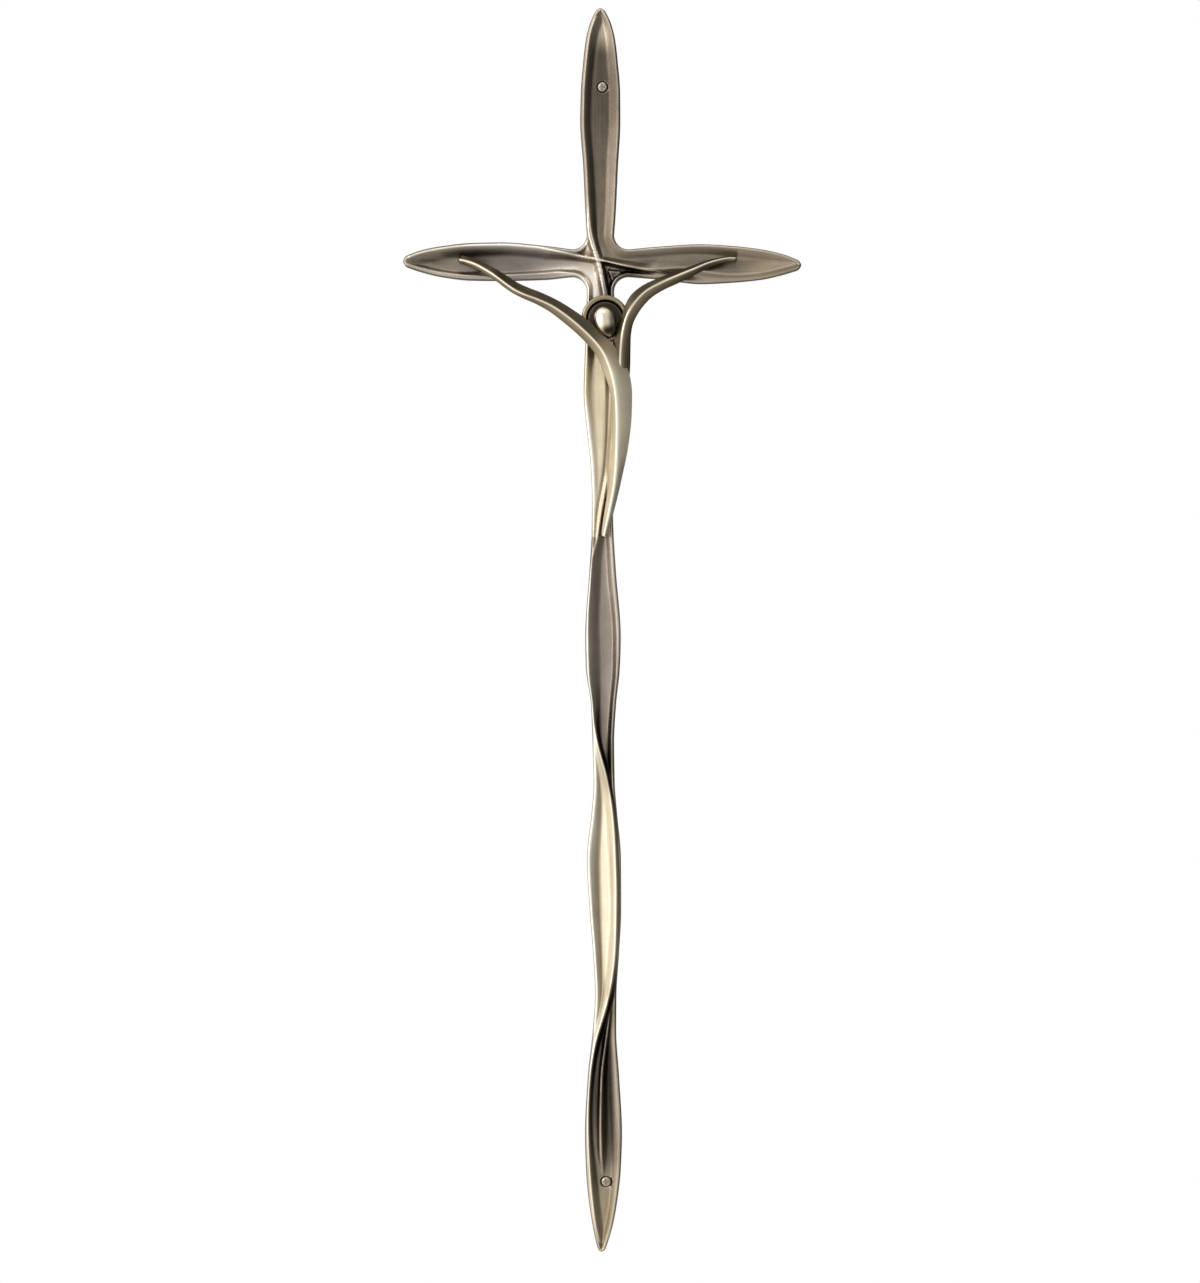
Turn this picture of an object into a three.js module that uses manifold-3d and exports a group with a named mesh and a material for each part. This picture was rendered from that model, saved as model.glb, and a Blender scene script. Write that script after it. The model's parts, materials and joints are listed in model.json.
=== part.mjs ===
// Slender wall crucifix in antiqued brass: two thin castings joined end to end, a stylised figure
// standing off their front, a halo cup with an egg-shaped head, and the screws that hold it together.
//
// Units are millimetres. The origin is on the back plane at the crossing. +Z is up, +X is to the
// right as a viewer in front sees it, and the front faces -Y, so a height h above the back is y = -h.

import * as THREE from 'three';
import { LoftGeometry } from 'three/addons/geometries/LoftGeometry.js';
import { mergeVertices } from 'three/addons/utils/BufferGeometryUtils.js';
import Module from 'manifold-3d';

const wasm = await Module();
wasm.setup();

// ---- driving dimensions ----------------------------------------------------------------------

const TOUCH = 0.3; // gap left between two pieces that touch

const TOP_ARM = 123; // crossing to the top tip
const LEFT_ARM = 95.2; // crossing to the left tip
const RIGHT_ARM = 96.9; // crossing to the right tip
const SPLICE_DROP = 132.6; // crossing down to the joint between the two castings
const SHAFT = 344.4; // length of the lower casting

const NECK = 6.6; // half width of every limb where it leaves the crossing
const FILLET = 7; // radius of the four inner corners
const FLOOR = 5.2; // height of the dished floor
const EDGE = 4.4; // height of the side wall before it rolls over
const RIM = 7.6; // height of the plain rims
const RIDGE = 8.8; // height of the long ridges
const ROLL = 1.25; // width of the roll-over between side wall and rim
const LOWER_ROLL = 2.4; // the same along the underside of the left arm
const LOWER_ROLL_RIGHT = 3.5; // and along the underside of the right arm
const RIM_WIDTH = 2.5; // width over which a plain rim falls to the floor
const RIDGE_WIDTH = 1.7; // width over which a ridge falls to the floor
const SOFTEN = 0.3; // blend between floor, rims and ridges

const WALL = 2; // wall left round the pockets in the back
const POCKET = 2.7; // depth of the pockets
const PAD = 9; // half length of the flat pad at the back of the crossing

const FIXING_TOP = 38.1; // top fixing hole, down from the top tip
const FIXING_BOTTOM = 33.8; // bottom fixing hole, up from the bottom tip
const FIXING_SHANK = 1.45; // fixing screw, radius of the shank
const FIXING_HEAD = 2.2; // fixing screw, radius of the head
const FIXING_REACH = 20; // how far a fixing screw stands out behind
const FIXING_DOME = 0.9; // rise of a fixing screw's domed head
const FIXING_CONE = 0.9; // depth of the countersink under it
const TIP_SOLID = 12; // length left solid at every tip

const PLATE_LENGTH = 36; // splice plate
const PLATE_WIDTH = 5.2;
const PLATE_THICK = 1.1;
const SPLICE_SHANK = 0.8; // splice screws, radius
const SPLICE_BITE = 1.5; // how far a splice screw enters the casting
const SPLICE_NEAR = 5; // splice screws, from the joint
const SPLICE_FAR = 13;

const HAND_SHANK = 0.8; // hand screws, radius
const HAND_BITE = 1.3; // how far a hand screw enters the hand
const HAND_INSET_LEFT = 26.8; // hand end to arm tip
const HAND_INSET_RIGHT = 31;
const HAND_SCREW_IN = 3; // hand screws, from the end of the hand
const CHEST_SHANK = 1.25; // chest screw, radius
const CHEST_BITE = 5;
const CHEST_BOSS_WALL = 1.2; // metal round the chest screw
const SPIGOT = 0.8; // radius of the locating pin under the feet
const SPIGOT_DEPTH = 1.4;
const SPIGOT_UP = 7.4; // locating pin, up from the joint between the castings

const STAND = RIM + 0.45; // back of the figure and halo where they pass over the rims
const HAND_BACK = FLOOR + TOUCH; // back of a hand, on the floor of the dish
const SHOULDER = 12; // where the free arms begin, from the centre line
const RIBBON_EDGE = 0.42; // height of a ribbon's edges, as a share of the way from back to crest
const RIBBON_SWELL = 0.3; // how far the middle of a flank stands proud
const RIBBON_BACK = 0.75; // width of a ribbon's back, as a share of its widths

const HALO_RADIUS = 11.4;
const HALO_SEAT = 9.4; // height of the halo's inner floor
const HALO_FRONT = HALO_SEAT + 0.263 * HALO_RADIUS; // height of the halo's rim
const HALO_RIM = 0.21 * HALO_RADIUS; // width of the halo's rim
const HALO_ROUND = 0.35; // rounding of the rim's edges, across
const HALO_SIDES = 28;
const OVER_HALO = HALO_FRONT + 0.4; // back of the arms where they pass in front of the halo
const HEAD_WIDTH = 0.91 * HALO_RADIUS; // the head is sized to fit its halo
const HEAD_LENGTH = 1.39 * HALO_RADIUS;
const HEAD_DEPTH = 0.88 * HALO_RADIUS;
const HEAD_TILT = 0.3; // lean of the head, chin to the right
const HEAD_TAPER = 0.16; // how much wider the crown is than the chin
const HEAD_FLAT = 0.5; // depth of the flat where the head sits in the halo
const HEAD_SHANK = 1.1; // head screw, radius
const HEAD_BITE = 3.6;

// Places on the front, as [x, z].
const HALO_AT = [2.2, -27.2];
const HEAD_AT = [HALO_AT[0] + 0.03 * HALO_RADIUS, HALO_AT[1] - 0.175 * HALO_RADIUS];
const HEAD_SCREW_AT = [HALO_AT[0] - 0.02 * HALO_RADIUS, HALO_AT[1] - 0.07 * HALO_RADIUS];
const CHEST_AT = [2.6, -47];

const ROUND = 14; // sides of a turned piece
const ROW = 5; // spacing of the cross-sections along a limb
const TIP_GATHER = 1.35; // how much closer the cross-sections stand towards a tip
const CORNER_STEPS = 8; // steps round an inner corner of the outline

// Where a section across a limb has its points.
const ROLL_MOST = 0.32; // most of the width that one roll-over may take
const ROLL_POINT = 0.25; // first point of a roll-over, as a share of it
const CREST_SPARE = 1.1; // room kept between a crest and the rims
const CREST_SPARE_MOST = 0.25; // the same, as the most of what lies between the rims

// ---- outline -----------------------------------------------------------------------------------

const SEAM = NECK + FILLET; // where the inner corners end and each limb's own outline begins

// Each limb's outline: share of the way from seam to tip, then its two edges.
const TOP_SHAPE = [
  [0, -6.6, 6.6], [0.1, -7.3, 7.4], [0.31, -8.4, 8.5], [0.5, -9.8, 9.6], [0.63, -9.5, 9.5],
  [0.76, -8.4, 8.4], [0.86, -7.1, 7.1], [0.93, -5.2, 5.2], [0.975, -3.1, 3.0], [1, -1.1, 0.9],
];
const LEFT_SHAPE = [
  [0, -6.6, 6.6], [0.17, -8.0, 8.4], [0.42, -8.5, 10.0], [0.6, -8.3, 9.7], [0.77, -6.7, 8.2],
  [0.88, -4.6, 6.5], [0.95, -2.8, 4.6], [0.985, -1.2, 3.1], [1, 0.1, 1.9],
];
const RIGHT_SHAPE = [
  [0, -6.6, 6.6], [0.18, -7.8, 8.0], [0.42, -10.0, 9.1], [0.6, -9.3, 8.3], [0.77, -7.9, 6.6],
  [0.88, -5.9, 4.6], [0.95, -4.2, 2.6], [0.985, -2.9, 1.0], [1, -1.7, -0.3],
];
const CHEST_SHAPE = [
  [0, -6.6, 6.6], [0.14, -6.9, 7.0], [0.27, -7.6, 7.6], [0.41, -8.1, 8.0], [0.56, -6.6, 7.2],
  [0.7, -4.8, 6.1], [0.84, -4.1, 5.9], [1, -4.3, 6.4],
];
const SHAFT_SHAPE = [
  [0, -4.3, 6.4], [0.048, -5.4, 7.5], [0.14, -7.4, 9.8], [0.18, -7.1, 9.4], [0.235, -4.6, 7.5],
  [0.285, -3.9, 6.6], [0.345, -3.3, 6.9], [0.385, -4.3, 8.0], [0.45, -6.5, 9.9], [0.52, -5.3, 10.0],
  [0.585, -3.5, 8.9], [0.64, -2.6, 7.7], [0.69, -3.7, 7.6], [0.755, -6.1, 9.0], [0.835, -7.5, 10.4],
  [0.885, -7.0, 9.8], [0.925, -5.8, 8.3], [0.96, -4.0, 6.2], [0.985, -2.2, 3.8], [1, -0.3, 1.5],
];

// Smooth curve through rows of [place, value, ...]; it never swings past its points.
function curveThrough(rows, column) {
  const place = rows.map((row) => row[0]);
  const value = rows.map((row) => row[column]);
  const last = rows.length - 1;
  const chord = place.slice(1).map((p, i) => (value[i + 1] - value[i]) / (p - place[i]));
  const slope = place.map((_, i) => {
    const before = chord[Math.max(i - 1, 0)];
    const after = chord[Math.min(i, last - 1)];
    return before * after <= 0 ? 0 : (2 * before * after) / (before + after);
  });
  return (at) => {
    const clamped = THREE.MathUtils.clamp(at, place[0], place[last]);
    const i = Math.min(Math.max(place.findIndex((p) => p >= clamped) - 1, 0), last - 1);
    const span = place[i + 1] - place[i];
    const t = (clamped - place[i]) / span;
    const rise = value[i + 1] - value[i];
    const bend = (slope[i] * span - rise) * (1 - t) - (slope[i + 1] * span - rise) * t;
    return value[i] + rise * t + bend * t * (1 - t);
  };
}

// A limb runs from place `from` to place `to` along its own axis, between a low and a high edge.
function limb(shape, from, to) {
  const low = curveThrough(shape, 1);
  const high = curveThrough(shape, 2);
  const share = (at) => (at - from) / (to - from);
  return { from, to, low: (at) => low(share(at)), high: (at) => high(share(at)) };
}

const TOP = limb(TOP_SHAPE, SEAM, TOP_ARM);
const LEFT = limb(LEFT_SHAPE, -SEAM, -LEFT_ARM);
const RIGHT = limb(RIGHT_SHAPE, SEAM, RIGHT_ARM);
const CHEST = limb(CHEST_SHAPE, -SEAM, -SPLICE_DROP);
const LOWER = limb(SHAFT_SHAPE, -SPLICE_DROP, -SPLICE_DROP - SHAFT);

// Half width of the upright inside the crossing, where the corners sweep out to the arms.
function crossingHalf(z) {
  if (Math.abs(z) <= NECK) return SEAM;
  const up = NECK + FILLET - Math.abs(z);
  return SEAM - Math.sqrt(FILLET ** 2 - up ** 2);
}

function uprightEdges(z) {
  if (z > SEAM) return [TOP.low(z), TOP.high(z)];
  if (z > -SEAM) return [-crossingHalf(z), crossingHalf(z)];
  const part = z > -SPLICE_DROP ? CHEST : LOWER;
  return [part.low(z), part.high(z)];
}

// Places along a limb, closer together near a narrow tip.
function places(from, to, step, tip) {
  const count = Math.ceil(Math.abs(to - from) / step);
  const share = (i) => (tip ? 1 - (1 - i / count) ** TIP_GATHER : i / count);
  return Array.from({ length: count + 1 }, (_, i) => from + (to - from) * share(i));
}

function outlinePoints(step) {
  const corner = (sx, sz) =>
    Array.from({ length: CORNER_STEPS + 1 }, (_, i) => {
      const turn = (i / CORNER_STEPS) * (Math.PI / 2);
      return [sx * (SEAM - FILLET * Math.cos(turn)), sz * (SEAM - FILLET * Math.sin(turn))];
    });
  const side = (part, edge, tip, upright) => {
    const along = places(part.from, part.to, step, tip);
    return along.map((at) => (upright ? [part[edge](at), at] : [at, part[edge](at)]));
  };
  const shaftSide = (edge) => {
    const lower = side(LOWER, edge, true, true).slice(1);
    return [...side(CHEST, edge, false, true), ...lower];
  };
  return [
    ...side(TOP, 'high', true, true).reverse(),
    ...corner(1, 1).slice(1, -1),
    ...side(RIGHT, 'high', true, false),
    ...side(RIGHT, 'low', true, false).reverse(),
    ...corner(1, -1).reverse().slice(1, -1),
    ...shaftSide('high'),
    ...shaftSide('low').reverse(),
    ...corner(-1, -1).slice(1, -1),
    ...side(LEFT, 'low', true, false),
    ...side(LEFT, 'high', true, false).reverse(),
    ...corner(-1, 1).reverse().slice(1, -1),
    ...side(TOP, 'low', true, true),
  ];
}

// ---- relief ------------------------------------------------------------------------------------

// Distance from a point to a path, and the height that the path carries there.
function nearestOn(path, x, z) {
  let best = { distance: Infinity, height: 0 };
  for (let i = 1; i < path.length; i += 1) {
    const [ax, az, ah = 0] = path[i - 1];
    const [bx, bz, bh = 0] = path[i];
    const dx = bx - ax;
    const dz = bz - az;
    const span = dx * dx + dz * dz || 1;
    const t = THREE.MathUtils.clamp(((x - ax) * dx + (z - az) * dz) / span, 0, 1);
    const distance = Math.hypot(x - ax - dx * t, z - az - dz * t);
    if (distance < best.distance) best = { distance, height: ah + (bh - ah) * t };
  }
  return best;
}

function ridgePath(points) {
  const curve = new THREE.CatmullRomCurve3(points.map(([x, z, h]) => new THREE.Vector3(x, z, h)));
  return curve.getPoints(points.length * 4).map((p) => [p.x, p.y, p.z]);
}

const shaftZ = (share) => -SPLICE_DROP - SHAFT * share;
const chestZ = (share) => -SEAM - (SPLICE_DROP - SEAM) * share;

// Ridge down the left of the top arm, across the crossing and down the chest.
const UPRIGHT_RIDGE = ridgePath([
  ...places(TOP_ARM - 6, SEAM + 12, 12, false).map((z) => [TOP.low(z) + ROLL, z, RIM + 0.5]),
  [-5.3, 16.4, RIDGE], [-3.3, 8, RIDGE], [-1.2, 1.5, RIDGE], [0.5, -6, RIDGE], [2.3, -15, RIM - 0.1],
  [2.5, -25, 7], [1.4, -45, 6.8], [0.7, -60, 6.8], [0.7, -86, 7], [-1.7, -102.7, 7.3], [-3, -114, RIM],
]);

// Ridge along the top of the left arm, across the crossing and along the bottom of the right arm.
const CROSS_RIDGE = ridgePath([
  ...places(-LEFT_ARM + 4, -SEAM - 18, 12, false).map((x) => [x, LEFT.high(x) - ROLL, RIM + 0.6]),
  [-20.5, 5.6, RIDGE - 0.4], [-12, 3.5, RIDGE], [-1.2, 1.5, RIDGE], [5.3, -0.1, RIDGE],
  [11.7, -1.6, RIDGE], [22.5, -3.3, RIDGE - 0.4],
  ...places(SEAM + 20, RIGHT_ARM - 4, 12, false).map((x) => {
    return [x, RIGHT.low(x) + LOWER_ROLL_RIGHT, RIM + 0.4];
  }),
]);

// Sinuous ridge that leaves the figure's side and winds down the shaft.
const SHAFT_RIDGE = ridgePath([
  [4.6, chestZ(0.56), 6.4], [4.1, chestZ(0.62), 7], [2.6, chestZ(0.75), 7.3], [0.7, chestZ(0.88), 7.5],
  [-1.7, shaftZ(0), 7.8], [-4.3, shaftZ(0.03), 8.2], [-6, shaftZ(0.1), 8.6], [-5.9, shaftZ(0.18), 8.6],
  [-4.2, shaftZ(0.262), RIDGE], [-1.9, shaftZ(0.29), RIDGE], [2.6, shaftZ(0.338), RIDGE],
  [6, shaftZ(0.405), RIDGE], [7.5, shaftZ(0.506), RIDGE], [6, shaftZ(0.588), RIDGE],
  [3.1, shaftZ(0.64), RIDGE], [-2.7, shaftZ(0.71), RIDGE], [-5.6, shaftZ(0.765), RIDGE],
  [-6.1, shaftZ(0.83), 8.6], [-4.6, shaftZ(0.905), 8.4], [-2.4, shaftZ(0.96), 8.1], [0, shaftZ(0.985), RIM],
]);

// Short ridge inside the last lobe.
const INNER_RIDGE = ridgePath([
  [5.1, shaftZ(0.66), 7.2], [2.2, shaftZ(0.71), 7.8], [0.5, shaftZ(0.75), 7.8],
  [-0.1, shaftZ(0.81), 7.8], [0.3, shaftZ(0.88), 7.6], [1.9, shaftZ(0.935), 5.6],
]);

const RIM_SLOPE = (RIM - FLOOR) / RIM_WIDTH;
const RIDGE_SLOPE = (RIDGE - FLOOR) / RIDGE_WIDTH;
const RIDGES = [UPRIGHT_RIDGE, CROSS_RIDGE, SHAFT_RIDGE, INNER_RIDGE];
const OUTLINE = outlinePoints(ROW);
OUTLINE.push(OUTLINE[0]);

// Width of the roll-over at a point: wider along the underside of both arms.
function rollAt(x, z) {
  const reach = THREE.MathUtils.smoothstep(Math.abs(x), SEAM, SEAM + 10);
  const under = THREE.MathUtils.smoothstep(-z, 0, 3);
  const wide = x < 0 ? LOWER_ROLL : LOWER_ROLL_RIGHT;
  return ROLL + (wide - ROLL) * reach * under;
}

// Height of the front above the back plane: the smooth maximum of the floor, the rim that follows
// the outline and the ridges, rolled over to the side wall near the outline.
function heightAt(x, z) {
  const rim = nearestOn(OUTLINE, x, z);
  const roll = rollAt(x, z);
  const levels = [FLOOR, RIM - RIM_SLOPE * Math.max(0, rim.distance - roll)];
  for (const ridge of RIDGES) {
    const near = nearestOn(ridge, x, z);
    levels.push(near.height - RIDGE_SLOPE * near.distance);
  }
  const top = Math.max(...levels);
  const sum = levels.reduce((total, level) => total + Math.exp((level - top) / SOFTEN), 0);
  const inside = top + SOFTEN * Math.log(sum);
  const share = Math.min(rim.distance / roll, 1);
  return EDGE + (inside - EDGE) * Math.sqrt(1 - (1 - share) ** 2);
}

// ---- solids ------------------------------------------------------------------------------------

function signedVolume(geometry) {
  const index = geometry.index.array;
  const position = geometry.attributes.position;
  const [a, b, c] = [new THREE.Vector3(), new THREE.Vector3(), new THREE.Vector3()];
  let volume = 0;
  for (let i = 0; i < index.length; i += 3) {
    a.fromBufferAttribute(position, index[i]);
    b.fromBufferAttribute(position, index[i + 1]);
    c.fromBufferAttribute(position, index[i + 2]);
    volume += a.dot(b.cross(c)) / 6;
  }
  return volume;
}

// Closed three.js geometry to a manifold solid, with its faces turned outwards. Triangles that
// shrink to a line where a section closes to a point are left out.
function solid(geometry) {
  const bare = new THREE.BufferGeometry();
  bare.setAttribute('position', geometry.attributes.position);
  bare.setIndex(geometry.index);
  const merged = mergeVertices(bare, 1e-5);
  const index = merged.index.array;
  const faces = [];
  for (let i = 0; i < index.length; i += 3) {
    const [a, b, c] = index.slice(i, i + 3);
    if (a !== b && b !== c && c !== a) faces.push(a, b, c);
  }
  if (signedVolume(merged) < 0) faces.reverse();
  const triVerts = Uint32Array.from(faces);
  const vertProperties = Float32Array.from(merged.attributes.position.array);
  return new wasm.Manifold(new wasm.Mesh({ numProp: 3, vertProperties, triVerts }));
}

function mesh(name, body, material) {
  const { vertProperties, triVerts } = body.getMesh();
  const geometry = new THREE.BufferGeometry();
  geometry.setAttribute('position', new THREE.BufferAttribute(Float32Array.from(vertProperties), 3));
  geometry.setIndex(new THREE.BufferAttribute(Uint32Array.from(triVerts), 1));
  geometry.computeVertexNormals();
  const made = new THREE.Mesh(geometry, material);
  made.name = name;
  return made;
}

// Solid of revolution about an axis along Y through [x, z]. The profile is a list of
// [radius, height above the back plane] that starts and ends on the axis.
function turned(profile, [x, z], sides = ROUND) {
  const geometry = new THREE.LatheGeometry(profile.map(([r, h]) => new THREE.Vector2(r, h)), sides);
  geometry.rotateZ(Math.PI);
  geometry.translate(x, 0, z);
  return solid(geometry);
}

function peg(radius, low, high, at, sides = ROUND) {
  return turned([[0, low], [radius, low], [radius, high], [0, high]], at, sides);
}

function block(width, length, low, high, [x, z]) {
  const geometry = new THREE.BoxGeometry(width, high - low, length);
  geometry.translate(x, -(low + high) / 2, z);
  return solid(geometry);
}

// Positions across a section: side wall, roll-over, rim, then evenly to the ridge and on.
function acrossSection(low, high, lowRoll, highRoll, ridge) {
  const span = high - low;
  const left = Math.min(lowRoll, ROLL_MOST * span);
  const right = Math.min(highRoll, ROLL_MOST * span);
  const inner = low + left;
  const outer = high - right;
  const spare = Math.min(CREST_SPARE, CREST_SPARE_MOST * (outer - inner));
  const crest = THREE.MathUtils.clamp(ridge, inner + spare, outer - spare);
  const between = (a, b, count) =>
    Array.from({ length: count }, (_, i) => a + ((b - a) * (i + 1)) / (count + 1));
  return [
    low, low + ROLL_POINT * left, inner, ...between(inner, crest, 2), crest,
    ...between(crest, outer, 3), outer, high - ROLL_POINT * right, high,
  ];
}

// Ring round an upright limb at height z: the relief from left to right, then the flat back.
function uprightRing(z) {
  const [low, high] = uprightEdges(z);
  const path = z > SHAFT_RIDGE[0][1] ? UPRIGHT_RIDGE : SHAFT_RIDGE;
  const ridge = path.reduce((a, b) => (Math.abs(b[1] - z) < Math.abs(a[1] - z) ? b : a))[0];
  const across = acrossSection(low, high, ROLL, ROLL, ridge);
  const front = across.map((x) => new THREE.Vector3(x, -heightAt(x, z), z));
  return [...front, new THREE.Vector3(high, 0, z), new THREE.Vector3(low, 0, z)];
}

const armPlaces = (part, x) =>
  acrossSection(part.low(x), part.high(x), rollAt(x, part.low(x)), ROLL, 0);

// Heights at which the arms' first rings and the rows of the crossing share their points.
const seamPlaces = () => armPlaces(LEFT, LEFT.from);

function armRing(part, x) {
  const low = part.low(x);
  const high = part.high(x);
  const across = armPlaces(part, x);
  const front = across.map((z) => new THREE.Vector3(x, -heightAt(x, z), z));
  return [...front, new THREE.Vector3(x, 0, high), new THREE.Vector3(x, 0, low)];
}

// Closed body through a row of rings, with each end closed by a fan to the middle of its ring.
function lofted(rings) {
  const closed = (ring) => {
    const middle = ring.reduce((sum, p) => sum.add(p), new THREE.Vector3()).divideScalar(ring.length);
    return ring.map(() => middle);
  };
  return solid(new LoftGeometry([closed(rings[0]), ...rings, closed(rings[rings.length - 1])]));
}

// Pocket in the back of a limb, one wall inside its outline, between two places along its axis.
function pocket(part, upright, from, to) {
  const along = places(from, to, ROW, false);
  const edge = (at, side) => (side === 'low' ? part.low(at) + WALL : part.high(at) - WALL);
  const put = (at, side) => (upright ? [edge(at, side), at] : [at, edge(at, side)]);
  const lows = along.map((at) => put(at, 'low'));
  const highs = along.reverse().map((at) => put(at, 'high'));
  const points = [...lows, ...highs];
  const shape = new THREE.Shape(points.map(([x, z]) => new THREE.Vector2(x, z)));
  const geometry = new THREE.ExtrudeGeometry(shape, { depth: POCKET + 1, bevelEnabled: false });
  geometry.rotateX(Math.PI / 2);
  geometry.translate(0, 1, 0);
  return solid(geometry);
}

// ---- screws ------------------------------------------------------------------------------------

// Cross recess cut into a screw head, on the side that `outward` points to.
function crossRecess(radius, surface, depth, outward, at) {
  const [low, high] = outward > 0 ? [surface - depth, surface + 1] : [surface - 1, surface + depth];
  const width = 0.36 * radius;
  return block(width, 1.3 * radius, low, high, at).add(block(1.3 * radius, width, low, high, at));
}

// Pan-head screw put in from behind: its head bears on a face at height `seat`.
function rearScrew(shank, seat, tip, at) {
  const top = seat - TOUCH;
  const head = 1.85 * shank;
  const thick = 0.85 * shank;
  const body = turned(
    [
      [0, top - thick], [0.75 * head, top - thick], [head, top - 0.6 * thick], [head, top],
      [shank, top], [shank, tip - 0.5 * shank], [0.5 * shank, tip], [0, tip],
    ],
    at,
  );
  return body.subtract(crossRecess(head, top - thick, 0.5 * thick, -1, at));
}

// Countersunk screw with a domed head, put in from the front and standing out behind.
function fixingScrew(at) {
  const seat = FLOOR + TOUCH;
  const body = turned(
    [
      [0, -FIXING_REACH], [0.3 * FIXING_SHANK, -FIXING_REACH], [FIXING_SHANK, -FIXING_REACH + 3],
      [FIXING_SHANK, seat - FIXING_CONE], [FIXING_HEAD, seat], [0.9 * FIXING_HEAD, seat + 0.55 * FIXING_DOME],
      [0.55 * FIXING_HEAD, seat + 0.9 * FIXING_DOME], [0, seat + FIXING_DOME],
    ],
    at,
  );
  return body.subtract(crossRecess(0.6 * FIXING_HEAD, seat + FIXING_DOME, 0.6 * FIXING_DOME, 1, at));
}

function fixingHole(at) {
  const seat = FLOOR + TOUCH;
  const shank = FIXING_SHANK + TOUCH;
  const top = FIXING_HEAD + TOUCH;
  const sink = seat - FIXING_CONE - TOUCH;
  const lip = RIDGE + 1;
  return turned([[0, -1], [shank, -1], [shank, sink], [top, seat - TOUCH], [top, lip], [0, lip]], at);
}

// ---- castings ----------------------------------------------------------------------------------

const FIXINGS = { top: [0.9, TOP_ARM - FIXING_TOP], bottom: [2.7, -SPLICE_DROP - SHAFT + FIXING_BOTTOM] };
const BOSS = FIXING_HEAD + TOUCH + WALL;
const SPLICE_X = (CHEST.low(-SPLICE_DROP) + CHEST.high(-SPLICE_DROP)) / 2;
const SPLICE_UP = [SPLICE_FAR, SPLICE_NEAR, -SPLICE_NEAR, -SPLICE_FAR];
const SPLICE_AT = SPLICE_UP.map((up) => [SPLICE_X, -SPLICE_DROP + up]);

const HAND_END_LEFT = LEFT_ARM - HAND_INSET_LEFT;
const HAND_END_RIGHT = RIGHT_ARM - HAND_INSET_RIGHT;
const HAND_AT = {
  left: [-HAND_END_LEFT + HAND_SCREW_IN, 0.6],
  right: [HAND_END_RIGHT - HAND_SCREW_IN, 1.6],
};
const SPIGOT_AT = [2.7, -SPLICE_DROP + SPIGOT_UP];

const screwHole = (radius, high, at) => peg(radius + TOUCH, -1, high, at);

function cutAll(body, cutters) {
  return cutters.reduce((kept, cutter) => kept.subtract(cutter), body);
}

function spliceHoles() {
  return SPLICE_AT.map((at) => peg(SPLICE_SHANK + TOUCH, POCKET - 1, POCKET + SPLICE_BITE + TOUCH, at));
}

function upperCross() {
  const corner = [0, 0.08, 0.22, 0.42, 0.66, 0.85].map((share) => SEAM - FILLET * share);
  const zs = [
    ...places(TOP.from, TOP.to, ROW, true).slice(1).reverse(), ...corner,
    ...seamPlaces().reverse(),
    ...corner.map((z) => -z).reverse(),
    ...places(CHEST.from, CHEST.to + TOUCH / 2, ROW, false).slice(1),
  ];
  const arm = (part) => lofted(places(part.from, part.to, ROW, true).map((x) => armRing(part, x)));
  const front = lofted(zs.map(uprightRing)).add(arm(LEFT)).add(arm(RIGHT));
  const boss = peg(BOSS, -2, POCKET + 1, FIXINGS.top);
  const pockets = [
    pocket(TOP, true, PAD, TOP_ARM - TIP_SOLID).subtract(boss),
    pocket(LEFT, false, -PAD, -LEFT_ARM + TIP_SOLID),
    pocket(RIGHT, false, PAD, RIGHT_ARM - TIP_SOLID),
    pocket(CHEST, true, -PAD, -SPLICE_DROP - 1),
  ];
  const holes = [
    fixingHole(FIXINGS.top),
    screwHole(HAND_SHANK, RIDGE, HAND_AT.left), screwHole(HAND_SHANK, RIDGE, HAND_AT.right),
    screwHole(HEAD_SHANK, RIDGE, HEAD_SCREW_AT), screwHole(CHEST_SHANK, RIDGE, CHEST_AT),
    peg(SPIGOT + TOUCH, FLOOR - SPIGOT_DEPTH, RIDGE, SPIGOT_AT), ...spliceHoles(),
  ];
  return cutAll(front, [...pockets, ...holes]);
}

function lowerShaft() {
  const zs = places(LOWER.from - TOUCH / 2, LOWER.to, ROW, false);
  const front = lofted(zs.map(uprightRing));
  const boss = peg(BOSS, -2, POCKET + 1, FIXINGS.bottom);
  const hollow = pocket(LOWER, true, LOWER.from + 1, LOWER.to + TIP_SOLID).subtract(boss);
  return cutAll(front, [hollow, fixingHole(FIXINGS.bottom), ...spliceHoles()]);
}

function splicePlate() {
  const top = POCKET - TOUCH;
  const plate = block(PLATE_WIDTH, PLATE_LENGTH, top - PLATE_THICK, top, [SPLICE_X, -SPLICE_DROP]);
  return cutAll(plate, SPLICE_AT.map((at) => screwHole(SPLICE_SHANK, top + 1, at)));
}

// ---- figure, halo and head -----------------------------------------------------------------------

const leftX = (share) => -(SHOULDER + share * (HAND_END_LEFT - SHOULDER));
const rightX = (share) => SHOULDER + share * (HAND_END_RIGHT - SHOULDER);

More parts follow.
